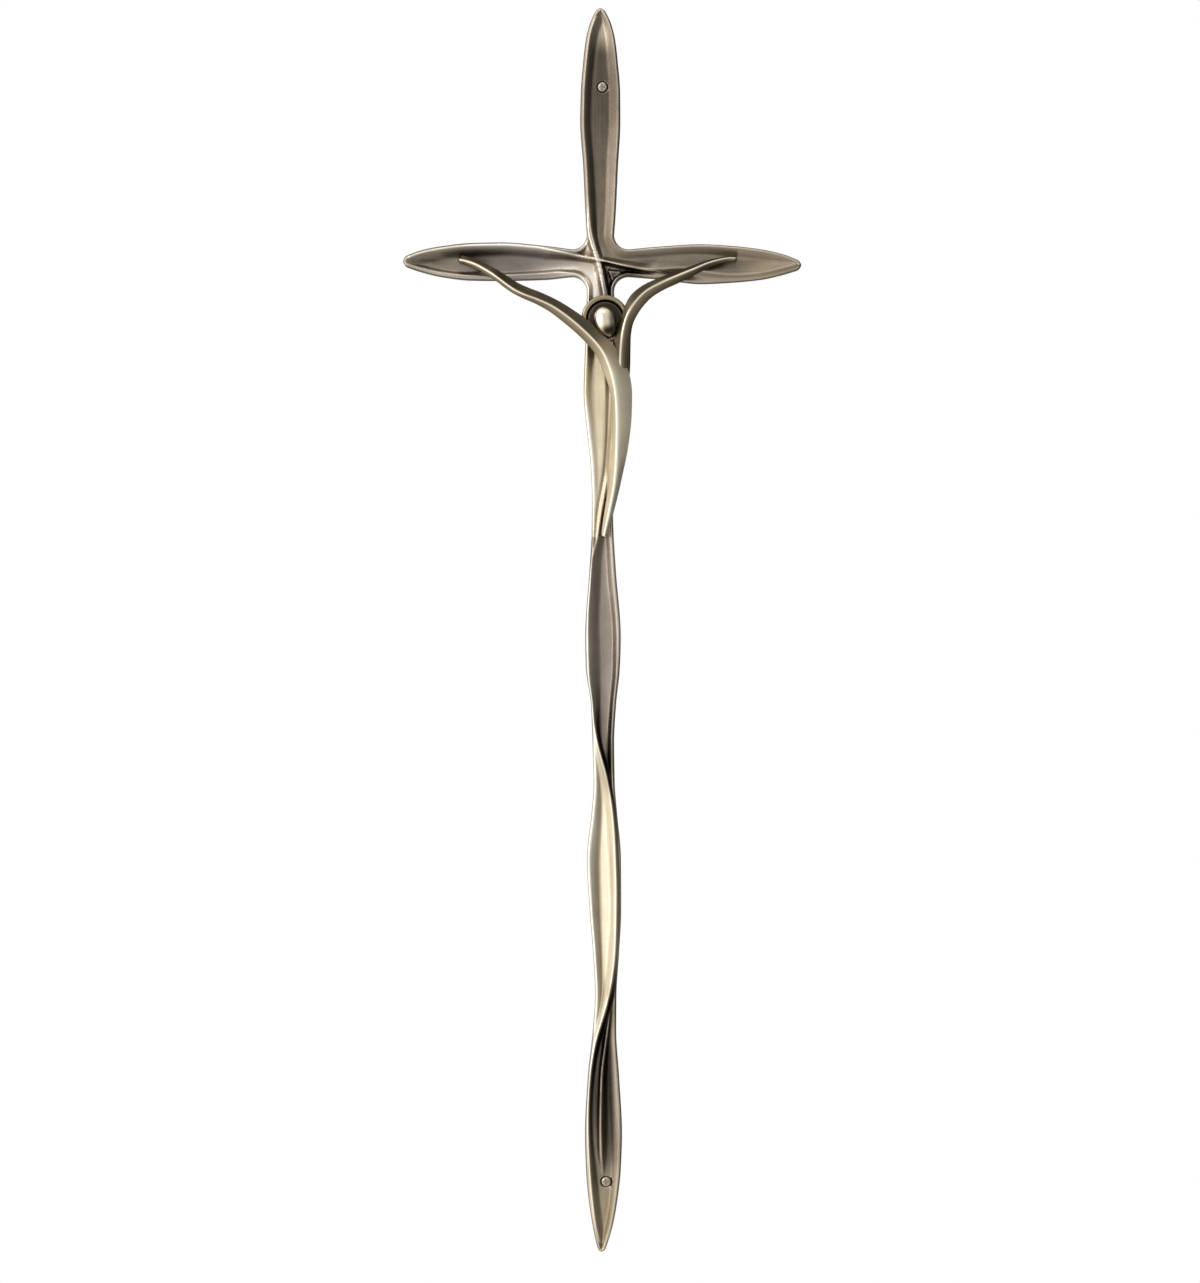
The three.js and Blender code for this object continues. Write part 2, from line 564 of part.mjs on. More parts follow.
// Stations along each side of the figure: x, z, width on the side 90 degrees to the left of the
// direction of travel, width on the other side, height of the crest, height of the back.
const LEFT_STATIONS = [
  [leftX(1), 1.8, 0.8, 2.1, HAND_BACK + 3.1, HAND_BACK],
  [leftX(0.934), 0.9, 1.2, 2.5, HAND_BACK + 3.9, HAND_BACK],
  [leftX(0.761), -3.6, 2.1, 2.4, STAND + 4, STAND],
  [leftX(0.585), -10.7, 2.6, 2.6, STAND + 6.1, STAND + 1.7],
  [leftX(0.411), -16.4, 2.8, 2.8, STAND + 7.1, STAND + 2.5],
  [leftX(0.266), -18.5, 2.7, 3.5, STAND + 7.6, STAND + 3],
  [leftX(0.076), -24.9, 3.7, 4.3, STAND + 8.4, OVER_HALO - 0.8], [-7.7, -32.7, 4, 3.8, 17.4, OVER_HALO],
  [-3.3, -37.8, 3.9, 4.1, 17.8, OVER_HALO], [1, -44.3, 5.4, 3.5, 18, OVER_HALO - 0.3],
  [4, -50, 6.2, 3.5, 18, 9.6], [6, -55.4, 8, 3.4, 17.9, STAND], [7.3, -64.1, 7.4, 2.5, 17.5, STAND],
  [7.9, -75, 6.8, 2.3, 16.8, STAND], [7.9, -84.4, 5.9, 2.4, 16, STAND], [7.6, -95.3, 4.7, 2.5, 14.8, STAND],
  [6.8, -104.7, 3.3, 2.5, 13.6, STAND], [5.4, -113.6, 2.7, 2.4, 12.6, STAND],
  [3.8, -122.4, 2, 2.1, 11.5, STAND], [2.3, -129.4, 1.1, 1.4, 10.4, STAND],
];
const RIGHT_STATIONS = [
  [rightX(1), 2.4, 1.5, 0.6, HAND_BACK + 3.1, HAND_BACK],
  [rightX(0.905), 2.4, 2.1, 0.7, HAND_BACK + 3.9, HAND_BACK],
  [rightX(0.724), 0.6, 2.9, 1.5, STAND + 3.6, STAND - 1.1],
  [rightX(0.54), -4, 3.8, 2.5, STAND + 5.9, STAND + 0.9],
  [rightX(0.358), -9.1, 4.6, 2.5, STAND + 7.3, STAND + 2.5],
  [rightX(0.195), -13.7, 5.2, 3, STAND + 7.9, OVER_HALO - 0.8],
  [15.2, -20.6, 4.6, 3.3, 16.6, OVER_HALO], [11.9, -28, 4.3, 2.1, 17, OVER_HALO],
  [10.2, -35.2, 4.4, 2.3, 17, OVER_HALO], [9.4, -43, 4.8, 2.4, 16.6, OVER_HALO - 0.4],
  [9.4, -50, 4.6, 1.8, 15.6, 10], [10, -58, 3.6, 1.4, 13.6, STAND + 0.5],
];

// Roof-shaped ring at one station: crest, flank and edge on each side, and a narrower back.
function roofRing(station, ahead, behind) {
  const [x, z, left, right, crest, back] = station;
  const along = new THREE.Vector2(ahead[0] - behind[0], ahead[1] - behind[1]).normalize();
  const edge = back + RIBBON_EDGE * (crest - back);
  const flank = (crest + edge) / 2 + RIBBON_SWELL;
  const section = [
    [0, crest], [0.5 * left, flank], [left, edge], [RIBBON_BACK * left, back],
    [-RIBBON_BACK * right, back], [-right, edge], [-0.5 * right, flank],
  ];
  return section.map(([side, height]) => {
    return new THREE.Vector3(x - along.y * side, -height, z + along.x * side);
  });
}

function roofBody(stations) {
  const halfway = (a, b) => a.map((value, k) => (value + b[k]) / 2);
  const between = stations.slice(1).map((next, i) => halfway(stations[i], next));
  const all = stations.flatMap((station, i) => [station, ...between.slice(i, i + 1)]);
  const last = all.length - 1;
  const rings = all.map((row, i) => roofRing(row, all[Math.min(i + 1, last)], all[Math.max(i - 1, 0)]));
  return lofted(rings);
}

function corpus() {
  const chestBoss = peg(CHEST_SHANK + TOUCH + CHEST_BOSS_WALL, STAND - 1, OVER_HALO + 1, CHEST_AT);
  const spigot = peg(SPIGOT, FLOOR - SPIGOT_DEPTH + TOUCH, STAND + 0.6, SPIGOT_AT);
  const figure = roofBody(LEFT_STATIONS).add(roofBody(RIGHT_STATIONS)).add(chestBoss).add(spigot);
  return cutAll(figure, [
    screwHole(HAND_SHANK, HAND_BACK + HAND_BITE + TOUCH, HAND_AT.left),
    screwHole(HAND_SHANK, HAND_BACK + HAND_BITE + TOUCH, HAND_AT.right),
    screwHole(CHEST_SHANK, STAND + CHEST_BITE + TOUCH, CHEST_AT),
  ]);
}

function haloCup() {
  const outer = HALO_RADIUS;
  const inner = HALO_RADIUS - HALO_RIM;
  const cup = turned(
    [
      [0, STAND], [outer - 2 * HALO_ROUND, STAND], [outer, STAND + 2 * HALO_ROUND],
      [outer, HALO_FRONT - 1], [outer - HALO_ROUND, HALO_FRONT - HALO_ROUND],
      [(outer + inner) / 2, HALO_FRONT], [inner + HALO_ROUND, HALO_FRONT - HALO_ROUND],
      [inner, HALO_FRONT - 1], [inner - HALO_ROUND, HALO_SEAT + HALO_ROUND],
      [inner - 3 * HALO_ROUND, HALO_SEAT], [0, HALO_SEAT],
    ],
    HALO_AT,
    HALO_SIDES,
  );
  return cup.subtract(screwHole(HEAD_SHANK, HALO_FRONT, HEAD_SCREW_AT));
}

// Egg with its narrow end down, flattened where it sits in the halo.
function head() {
  const steps = 14;
  const profile = Array.from({ length: steps + 1 }, (_, i) => {
    const turn = (i / steps) * Math.PI;
    const radius = (HEAD_WIDTH / 2) * Math.sin(turn) * (1 - HEAD_TAPER * Math.cos(turn));
    return new THREE.Vector2(Math.max(radius, 0), (-HEAD_LENGTH / 2) * Math.cos(turn));
  });
  profile[0].x = 0;
  profile[steps].x = 0;
  const egg = new THREE.LatheGeometry(profile, 24);
  egg.rotateX(Math.PI / 2);
  egg.scale(1, HEAD_DEPTH / HEAD_WIDTH, 1);
  egg.rotateY(-HEAD_TILT);
  const back = HALO_SEAT + TOUCH;
  egg.translate(HEAD_AT[0], -(back - HEAD_FLAT + HEAD_DEPTH / 2), HEAD_AT[1]);
  const flat = block(2 * HEAD_LENGTH, 2 * HEAD_LENGTH, back - 5, back, HEAD_AT);
  const hole = screwHole(HEAD_SHANK, back + HEAD_BITE + TOUCH, HEAD_SCREW_AT);
  return solid(egg).subtract(flat).subtract(hole);
}

// ---- assembly ------------------------------------------------------------------------------------

function antique(color, roughness = 0.34) {
  return new THREE.MeshStandardMaterial({ color, roughness, metalness: 1 });
}

const steel = () => new THREE.MeshStandardMaterial({ color: 0x9a9a98, roughness: 0.4, metalness: 1 });

const crucifix = new THREE.Group();
crucifix.add(
  mesh('upper_cross', upperCross(), antique(0x8d816c)),
  mesh('lower_shaft', lowerShaft(), antique(0x877c69)),
  mesh('corpus', corpus(), antique(0xa89a7c, 0.28)),
  mesh('halo_cup', haloCup(), antique(0x5e5545, 0.4)),
  mesh('head', head(), antique(0xb7a982, 0.2)),
  mesh('splice_plate', splicePlate(), steel()),
);

SPLICE_AT.forEach((at, i) => {
  const seat = POCKET - TOUCH - PLATE_THICK;
  const body = rearScrew(SPLICE_SHANK, seat, POCKET + SPLICE_BITE, at);
  crucifix.add(mesh(`splice_screw_${i + 1}`, body, steel()));
});

const rearScrews = {
  left_hand_screw: [HAND_SHANK, HAND_BACK + HAND_BITE, HAND_AT.left],
  right_hand_screw: [HAND_SHANK, HAND_BACK + HAND_BITE, HAND_AT.right],
  chest_screw: [CHEST_SHANK, STAND + CHEST_BITE, CHEST_AT],
  head_screw: [HEAD_SHANK, HALO_SEAT + TOUCH + HEAD_BITE, HEAD_SCREW_AT],
};
for (const [name, [shank, tip, at]] of Object.entries(rearScrews)) {
  crucifix.add(mesh(name, rearScrew(shank, POCKET, tip, at), steel()));
}
for (const [place, at] of Object.entries(FIXINGS)) {
  crucifix.add(mesh(`${place}_fixing_screw`, fixingScrew(at), antique(0x9d927c, 0.3)));
}

export default crucifix;
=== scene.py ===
"""Looks of a slender wall crucifix in antiqued brass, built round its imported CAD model.

Sizes are in millimetres and become metres where a mesh is made. The origin is on the back plane
at the crossing, +Z is up, +X is to a viewer's right, and the front faces -Y, so a height h above
the back plane is y = -h.
"""

from __future__ import annotations

import json
import logging
import math
from dataclasses import dataclass, field
from enum import Enum
from typing import Any, Sequence

import bpy
import numpy as np
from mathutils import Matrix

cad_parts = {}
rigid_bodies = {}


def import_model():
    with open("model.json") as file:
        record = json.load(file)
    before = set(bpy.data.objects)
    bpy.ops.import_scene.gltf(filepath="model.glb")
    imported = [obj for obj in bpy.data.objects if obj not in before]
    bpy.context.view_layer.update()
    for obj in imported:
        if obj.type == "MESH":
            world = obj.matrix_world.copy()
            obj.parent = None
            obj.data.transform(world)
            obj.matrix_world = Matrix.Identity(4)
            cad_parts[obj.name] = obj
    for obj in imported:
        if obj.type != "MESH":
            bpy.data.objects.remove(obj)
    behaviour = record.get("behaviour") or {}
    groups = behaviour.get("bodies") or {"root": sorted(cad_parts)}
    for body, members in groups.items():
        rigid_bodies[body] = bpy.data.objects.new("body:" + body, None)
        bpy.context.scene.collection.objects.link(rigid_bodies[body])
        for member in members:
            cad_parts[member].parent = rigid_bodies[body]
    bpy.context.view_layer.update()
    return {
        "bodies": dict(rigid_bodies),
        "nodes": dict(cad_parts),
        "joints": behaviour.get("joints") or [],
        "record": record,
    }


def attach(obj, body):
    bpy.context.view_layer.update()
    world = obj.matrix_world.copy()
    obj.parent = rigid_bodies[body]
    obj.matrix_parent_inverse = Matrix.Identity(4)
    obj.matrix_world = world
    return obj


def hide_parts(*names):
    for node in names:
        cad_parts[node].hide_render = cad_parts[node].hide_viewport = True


MM = 0.001
BODY = "root"
LOG = logging.getLogger("crucifix")
Array = np.ndarray
Rows = Sequence[Sequence[float]]

# How finely the castings are divided.
LIMB_STEP = 0.6  # distance between rings
CORNER_ROWS = 34  # rings round an inner corner
FRONT_COLUMNS = 66  # points across the front of the upright
BACK_COLUMNS = 28  # points across its back
ARM_COLUMNS = 56  # points across an arm, front and back
GATHER = 0.5  # how much closer the points lie near the edges


# ---- shader graph ------------------------------------------------------------------------------


class Value:
    """A shader socket that takes part in Python arithmetic."""

    def __init__(self, graph: Graph, socket: bpy.types.NodeSocket) -> None:
        """Wraps one output socket of a node in the graph."""
        self.graph = graph
        self.socket = socket

    def math(self, operation: str, *others: Any, clamp: bool = False) -> Value:
        """Adds a Math node that starts from this value."""
        settings = {"operation": operation, "use_clamp": clamp}
        return self.graph.node("ShaderNodeMath", settings, [self, *others])

    def __add__(self, other: Any) -> Value:
        """Returns self + other."""
        return self.math("ADD", other)

    def __radd__(self, other: Any) -> Value:
        """Returns other + self."""
        return self.math("ADD", other)

    def __sub__(self, other: Any) -> Value:
        """Returns self - other."""
        return self.math("SUBTRACT", other)

    def __rsub__(self, other: Any) -> Value:
        """Returns other - self."""
        return self.graph.node("ShaderNodeMath", {"operation": "SUBTRACT"}, [other, self])

    def __mul__(self, other: Any) -> Value:
        """Returns self * other."""
        return self.math("MULTIPLY", other)

    def __rmul__(self, other: Any) -> Value:
        """Returns other * self."""
        return self.math("MULTIPLY", other)

    def __neg__(self) -> Value:
        """Returns the value with its sign turned."""
        return self.math("MULTIPLY", -1.0)

    def clamped(self) -> Value:
        """Returns the value held between 0 and 1."""
        return self.math("ADD", 0.0, clamp=True)

    def step(self, low: float, high: float) -> Value:
        """Returns a smooth step from 0 at low to 1 at high."""
        settings = {"interpolation_type": "SMOOTHSTEP"}
        return self.graph.node("ShaderNodeMapRange", settings, [self, low, high, 0.0, 1.0])


class Graph:
    """A node tree that is built from expressions."""

    def __init__(self, tree: bpy.types.NodeTree) -> None:
        """Empties the tree and keeps it."""
        self.tree = tree
        tree.nodes.clear()

    def node(self, kind: str, settings: dict[str, Any], inputs: Any = (), output: Any = 0) -> Value:
        """Adds one node.

        Args:
            kind: The node's type name.
            settings: Properties that are set before the sockets. "stops" fills a colour ramp.
            inputs: Values or links, as a list in socket order or a dict by socket name or number.
            output: Name or number of the socket that is returned.

        Returns:
            The chosen output as a value.
        """
        made = self.tree.nodes.new(kind)
        for name, setting in settings.items():
            if name == "stops":
                self._fill_ramp(made.color_ramp, setting)
            else:
                setattr(made, name, setting)
        pairs = inputs.items() if isinstance(inputs, dict) else enumerate(inputs)
        for key, item in pairs:
            if isinstance(item, Value):
                self.tree.links.new(item.socket, made.inputs[key])
            else:
                made.inputs[key].default_value = item
        return Value(self, made.outputs[output]) if made.outputs else None

    @staticmethod
    def _fill_ramp(ramp: bpy.types.ColorRamp, stops: Sequence[tuple[float, Sequence[float]]]) -> None:
        """Writes the stops into a colour ramp that starts with two."""
        while len(ramp.elements) < len(stops):
            ramp.elements.new(1.0)
        for element, (position, colour) in zip(ramp.elements, stops):
            element.position = position
            element.color = (*colour, 1.0)

    def attribute(self, name: str, output: str = "Fac") -> Value:
        """Returns a mesh attribute."""
        return self.node("ShaderNodeAttribute", {"attribute_name": name}, (), output)

    def blend(self, factor: Any, first: Any, second: Any) -> Value:
        """Returns a mix of two colours."""
        return self.node("ShaderNodeMix", {"data_type": "RGBA"}, {0: factor, 6: first, 7: second}, 2)

    def parts(self, vector: Value) -> list[Value]:
        """Returns the three parts of a vector."""
        made = self.node("ShaderNodeSeparateXYZ", {}, [vector]).socket.node
        return [Value(self, made.outputs[i]) for i in range(3)]

    def vector(self, x: Any, y: Any, z: Any) -> Value:
        """Returns a vector of three values."""
        return self.node("ShaderNodeCombineXYZ", {}, [x, y, z])

    def noise(self, at: Value, scale: float, detail: float = 3.0, roughness: float = 0.5) -> Value:
        """Returns a noise texture's factor, from 0 to 1."""
        inputs = {"Vector": at, "Scale": scale, "Detail": detail, "Roughness": roughness}
        return self.node("ShaderNodeTexNoise", {}, inputs, "Fac")


# ---- finishes ----------------------------------------------------------------------------------


def linear(red: float, green: float, blue: float) -> tuple[float, float, float]:
    """Returns a colour given as 0-255 display values in linear light."""
    shares = (red / 255, green / 255, blue / 255)
    return tuple(share / 12.92 if share < 0.0404 else ((share + 0.055) / 1.055) ** 2.4 for share in shares)


@dataclass(frozen=True)
class Antiqued:
    """Cast metal, darkened and then rubbed bright along its high places, with brushed floors, and with
    painted light and shade laid into its tone.
    """

    name: str
    cool: tuple = ((30, 27, 25), (88, 81, 76), (146, 136, 129), (193, 184, 173), (242, 236, 225))
    warm: tuple = ((34, 28, 20), (96, 86, 66), (160, 145, 114), (207, 192, 159), (251, 245, 226))
    rough: float = 0.3
    brushed: float = 0.06
    streak: float = 0.17

    def build(self) -> bpy.types.Material:
        """Makes the material.

        Returns:
            A material that reads tone (0 dark to 1 bright), gold (0 cool to 1 warm), wear (-1 hollow
            to 1 high place) and flow (distance along and across the limb, in millimetres).
        """
        material = bpy.data.materials.new(self.name)
        material.use_nodes = True
        graph = Graph(material.node_tree)
        along, across, _ = graph.parts(graph.attribute("flow", "Vector"))
        tone, gold, wear = (graph.attribute(name) for name in ("tone", "gold", "wear"))
        place = graph.node("ShaderNodeTexCoord", {}, (), "Object")
        cloud = graph.noise(place, 90.0, 4.0, 0.55)
        fine = graph.noise(place, 900.0, 3.0, 0.6)
        lines = graph.noise(graph.vector(along * 0.02, across * 1.5, 0.0), 1.0, 4.0, 0.62)
        hairs = graph.noise(graph.vector(along * 0.12, across * 9.0, 3.0), 1.0, 3.0, 0.6)
        shade = tone + (lines - 0.5) * self.streak + (cloud - 0.5) * 0.12 + (fine - 0.5) * 0.04
        shade = (shade + (hairs - 0.5) * (self.streak * 0.5)).clamped()
        spots = [index / (len(self.cool) - 1) for index in range(len(self.cool))]
        ramps = []
        for ramp in (self.cool, self.warm):
            stops = [(spot, linear(*colour)) for spot, colour in zip(spots, ramp)]
            ramps.append(graph.node("ShaderNodeValToRGB", {"stops": stops}, [shade]))
        colour = graph.blend(gold.clamped(), *ramps)
        high = wear.step(0.0, 0.8)
        low = (-wear).step(0.0, 0.8)
        rough = self.rough + (cloud - 0.5) * 0.1 + (hairs - 0.5) * 0.12 + low * 0.16 - high * 0.08
        grain = hairs * 0.6 + lines * 0.5 + fine * 0.35
        height = {"Strength": 1.0, "Distance": self.brushed * MM, "Height": grain}
        bump = graph.node("ShaderNodeBump", {}, height, "Normal")
        inputs = {"Base Color": colour, "Metallic": 1.0, "Roughness": rough.clamped(), "Normal": bump}
        graph.node("ShaderNodeOutputMaterial", {}, [graph.node("ShaderNodeBsdfPrincipled", {}, inputs)])
        return material


@dataclass(frozen=True)
class Plated:
    """Zinc-plated steel with faint drawn lines and duller hollows."""

    name: str
    colour: tuple = (168, 168, 166)
    dull: tuple = (112, 112, 110)
    rough: float = 0.34

    def build(self) -> bpy.types.Material:
        """Makes the material from Object coordinates alone."""
        material = bpy.data.materials.new(self.name)
        material.use_nodes = True
        graph = Graph(material.node_tree)
        place = graph.node("ShaderNodeTexCoord", {}, (), "Object")
        x, y, z = graph.parts(place)
        cloud = graph.noise(place, 260.0, 4.0, 0.6)
        drawn = graph.noise(graph.vector(x * 4000.0, y * 4000.0, z * 240.0), 1.0, 2.0, 0.5)
        bright = [(*linear(*self.colour), 1.0), (*linear(*self.dull), 1.0)]
        colour = graph.blend((cloud * 1.4 - 0.2).clamped(), *bright)
        rough = self.rough + (drawn - 0.5) * 0.2 + (cloud - 0.5) * 0.12
        height = {"Strength": 0.6, "Distance": 0.02 * MM, "Height": drawn + cloud * 0.4}
        bump = graph.node("ShaderNodeBump", {}, height, "Normal")
        inputs = {"Base Color": colour, "Metallic": 1.0, "Roughness": rough.clamped(), "Normal": bump}
        graph.node("ShaderNodeOutputMaterial", {}, [graph.node("ShaderNodeBsdfPrincipled", {}, inputs)])
        return material


# ---- curves and meshes ---------------------------------------------------------------------------


def smooth_step(value: Array, low: float, high: float) -> Array:
    """Returns a smooth step, 3t^2 - 2t^3, from 0 at low to 1 at high."""
    share = np.clip((value - low) / (high - low), 0.0, 1.0)
    return share * share * (3.0 - 2.0 * share)


def curve_at(rows: Rows, column: int, at: Array) -> Array:
    """Reads a smooth curve that never swings past its points.

    Each span is a cubic whose end slopes are the harmonic mean of the chords on both sides, or
    zero where the chords turn.

    Args:
        rows: Rows of [place, value, ...] in rising order of place.
        column: Which value is read.
        at: Places.

    Returns:
        The values at those places.
    """
    table = np.asarray(rows, dtype=float)
    place, value = table[:, 0], table[:, column]
    chord = np.diff(value) / np.diff(place)
    before, after = np.concatenate([chord[:1], chord]), np.concatenate([chord, chord[-1:]])
    total = np.where(before * after > 0, before + after, 1.0)
    slope = np.where(before * after > 0, 2 * before * after / total, 0.0)
    held = np.clip(at, place[0], place[-1])
    i = np.clip(np.searchsorted(place, held) - 1, 0, len(place) - 2)
    span, rise = place[i + 1] - place[i], value[i + 1] - value[i]
    t = (held - place[i]) / span
    bend = (slope[i] * span - rise) * (1 - t) - (slope[i + 1] * span - rise) * t
    return value[i] + rise * t + bend * t * (1 - t)


def spline(rows: Rows, spacing: float) -> Array:
    """Runs a smooth curve through rows of [x, z, values...].

    It is a Catmull-Rom spline on chord length: each span is a cubic whose end slopes are the
    difference of the points on both sides over the distance between them.

    Args:
        rows: The points and what they carry.
        spacing: About how far apart the new points are.

    Returns:
        The denser rows.
    """
    points = np.asarray(rows, dtype=float)
    step = np.linalg.norm(np.diff(points[:, :2], axis=0), axis=1)
    place = np.concatenate([[0.0], np.cumsum(step)])
    padded = np.vstack([points[:1], points, points[-1:]])
    reach = np.concatenate([place[:1], place, place[-1:]])
    slope = (padded[2:] - padded[:-2]) / (reach[2:] - reach[:-2])[:, None]
    at = np.linspace(0.0, place[-1], int(place[-1] / spacing) + 2)
    i = np.clip(np.searchsorted(place, at) - 1, 0, len(place) - 2)
    span = (place[i + 1] - place[i])[:, None]
    t = ((at - place[i])[:, None]) / span
    rise = points[i + 1] - points[i]
    bend = (slope[i] * span - rise) * (1 - t) - (slope[i + 1] * span - rise) * t
    return points[i] + rise * t + bend * t * (1 - t)


class Path:
    """A line of points that carry values, asked for its nearest place in whole arrays."""

    CHUNK = 2048
    REACH = 16.0

    def __init__(self, rows: Array) -> None:
        """Keeps the segments of rows of [x, z, values...]."""
        self.start, self.end = rows[:-1], rows[1:]

    def nearest(self, x: Array, z: Array) -> tuple[Array, Array, Array]:
        """Finds the nearest place on the line for each point.

        The points are taken in runs, and each run is compared with the segments near its box. A
        point projects on each segment, held to the segment's ends, and the nearest one wins.

        Args:
            x: Points' x.
            z: Points' z.

        Returns:
            Distance, side (1 on the left of the direction of travel, else -1), and carried values.
        """
        distance = np.full(x.size, self.REACH)
        side = np.ones(x.size)
        carried = np.zeros((x.size, self.start.shape[1] - 2))
        low = np.minimum(self.start[:, :2], self.end[:, :2])
        high = np.maximum(self.start[:, :2], self.end[:, :2])
        for first in range(0, x.size, self.CHUNK):
            run = slice(first, first + self.CHUNK)
            point = np.stack([x[run], z[run]], axis=1)
            box = point.min(axis=0) - self.REACH, point.max(axis=0) + self.REACH
            near = np.all((high > box[0]) & (low < box[1]), axis=1)
            if not near.any():
                continue
            a, b = self.start[near], self.end[near]
            line = b[:, :2] - a[:, :2]
            offset = point[:, None, :] - a[None, :, :2]
            t = np.clip((offset * line).sum(axis=2) / np.maximum((line**2).sum(axis=1), 1e-9), 0.0, 1.0)
            gap = offset - t[:, :, None] * line
            span = np.sqrt((gap**2).sum(axis=2))
            pick = span.argmin(axis=1)
            row = np.arange(len(pick))
            close = span[row, pick]
            turn = line[pick, 0] * offset[row, pick, 1] - line[pick, 1] * offset[row, pick, 0]
            distance[run] = np.minimum(close, self.REACH)
            side[run] = np.where(turn >= 0, 1.0, -1.0)
            share = t[row, pick][:, None]
            carried[run] = a[pick, 2:] + (b[pick, 2:] - a[pick, 2:]) * share
        return distance, side, carried


def spread(count: int, gather: float) -> Array:
    """Returns shares from 0 to 1, closer together near both ends: t - gather * sin(2 pi t) / 2 pi."""
    t = np.linspace(0.0, 1.0, count)
    return t - gather * np.sin(2 * math.pi * t) / (2 * math.pi)


class Body:
    """A mesh put together from grids of points and fans."""

    def __init__(self, name: str) -> None:
        """Starts an empty mesh."""
        self.name = name
        self.points: list[Array] = []
        self.faces: list[Array] = []
        self.fields: dict[str, list[Array]] = {}
        self.count = 0

    def add(self, points: Array, **fields: Array) -> Array:
        """Adds points.

        Args:
            points: Their places in millimetres, in an array whose last axis is x, y, z.
            fields: Values for each point, by attribute name.

        Returns:
            The points' numbers, in the shape of the array.
        """
        shape = points.shape[:-1]
        flat = points.reshape(-1, 3)
        self.points.append(flat)
        for name, value in fields.items():
            width = 3 if name == "flow" else 1
            self.fields.setdefault(name, []).append(np.asarray(value, dtype=float).reshape(len(flat), width))
        numbers = self.count + np.arange(len(flat)).reshape(shape)
        self.count += len(flat)
        return numbers

    def skin(self, rows: Array, flip: bool = False, closed: bool = True, skip: Array | None = None) -> None:
        """Joins neighbouring rows of point numbers with quads.

        Args:
            rows: Point numbers, one ring per row.
            flip: Turns the faces over.
            closed: Whether each ring closes on itself.
            skip: Cells that are left open, true where no quad is wanted.
        """
        ahead = np.roll(rows, -1, axis=1) if closed else rows[:, 1:]
        here = rows if closed else rows[:, :-1]
        quads = np.stack([here[:-1], here[1:], ahead[1:], ahead[:-1]], axis=2)
        if flip:
            quads = quads[:, :, ::-1]
        kept = quads.reshape(-1, 4) if skip is None else quads[~skip]
        self.faces.append(kept)

    def fan(self, ring: Array, centre: int, flip: bool = False) -> None:
        """Closes a ring with triangles to a centre point."""
        ahead = np.roll(ring, -1)
        faces = np.stack([ring, ahead, np.full_like(ring, centre)], axis=1)
        self.faces.append(faces[:, ::-1] if flip else faces)

    def cap(self, ring: Array, tip: Sequence[float], values: tuple[float, float, float], flip: bool) -> None:
        """Closes a ring with a fan to a new point.

        Args:
            ring: The ring's point numbers.
            tip: The new point.
            values: Its tone, gold and wear.
            flip: Turns the faces over.
        """
        tone, gold, wear = ([value] for value in values)
        point = np.array([tip], dtype=float)
        centre = self.add(point, tone=tone, gold=gold, wear=wear, flow=[[0.0, 0.0, 0.0]])
        self.fan(ring, int(centre[0]), flip)

    def build(self, sharp: float = 40.0) -> bpy.types.Object:
        """Makes the object, smooth but for edges that turn by more than the given degrees."""
        mesh = bpy.data.meshes.new(self.name)
        faces = [face for group in self.faces for face in group.tolist()]
        mesh.from_pydata((np.vstack(self.points) * MM).tolist(), [], faces)
        for name, chunks in self.fields.items():
            values = np.vstack(chunks)
            kind = "FLOAT_VECTOR" if values.shape[1] == 3 else "FLOAT"
            layer = mesh.attributes.new(name, kind, "POINT")
            layer.data.foreach_set("vector" if kind == "FLOAT_VECTOR" else "value", values.ravel())
        mesh.shade_smooth()
        mesh.set_sharp_from_angle(angle=math.radians(sharp))
        mesh.validate()
        made = bpy.data.objects.new(self.name, mesh)
        bpy.context.scene.collection.objects.link(made)
        return made

    def finished(self, finish: bpy.types.Material, node: str, sharp: float = 40.0) -> bpy.types.Object:
        """Makes the object, gives it its finish and sets it in the place of a CAD node.

        Args:
            finish: The material.
            node: The node that it replaces.
            sharp: Edges that turn by more degrees than this stay sharp.

        Returns:
            The object.
        """
        made = self.build(sharp)
        made.data.materials.append(finish)
        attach(made, BODY)
        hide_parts(node)
        return made


class End(Enum):
    """The two ends of the cross that are fixed to the wall, with the screw's place as x and z."""

    TOP = (0.9, 84.9)
    BOTTOM = (2.7, -443.2)


# ---- outline and relief ----------------------------------------------------------------------------


@dataclass(frozen=True)
class Limb:
    """One limb's outline between two places along its own axis.

    The rows hold the share of the way, then the low and the high edge. The last stretch before a
    tip closes in a half circle.
    """

    start: float
    end: float
    rows: tuple
    tip: float = 1.6

    def share(self, at: Array) -> Array:
        """Returns how far along the limb a place is."""
        return (np.asarray(at) - self.start) / (self.end - self.start)

    def edges(self, at: Array) -> tuple[Array, Array]:
        """Returns the low and the high edge at places along the limb."""
        share = self.share(at)
        low, high = curve_at(self.rows, 1, share), curve_at(self.rows, 2, share)
        if self.tip <= 0:
            return low, high
        left = np.clip(1 - np.abs(self.end - np.asarray(at)) / self.tip, 0.0, 1.0)
        half = (high - low) / 2 * np.sqrt(np.clip(1 - left**2, 0.0, 1.0))
        middle = (high + low) / 2
        return middle - half, middle + half

    def places(self, step: float) -> Array:
        """Returns places along the limb, closer together towards a tip."""
        count = int(abs(self.end - self.start) / step)
        t = np.linspace(0.0, 1.0, count + 1)
        if self.tip <= 0:
            return self.start + (self.end - self.start) * t
        body = self.end - np.sign(self.end - self.start) * self.tip
        bend = np.sin(np.linspace(0.0, math.pi / 2, 9))[1:]
        return np.concatenate([self.start + (body - self.start) * t, body + (self.end - body) * bend])


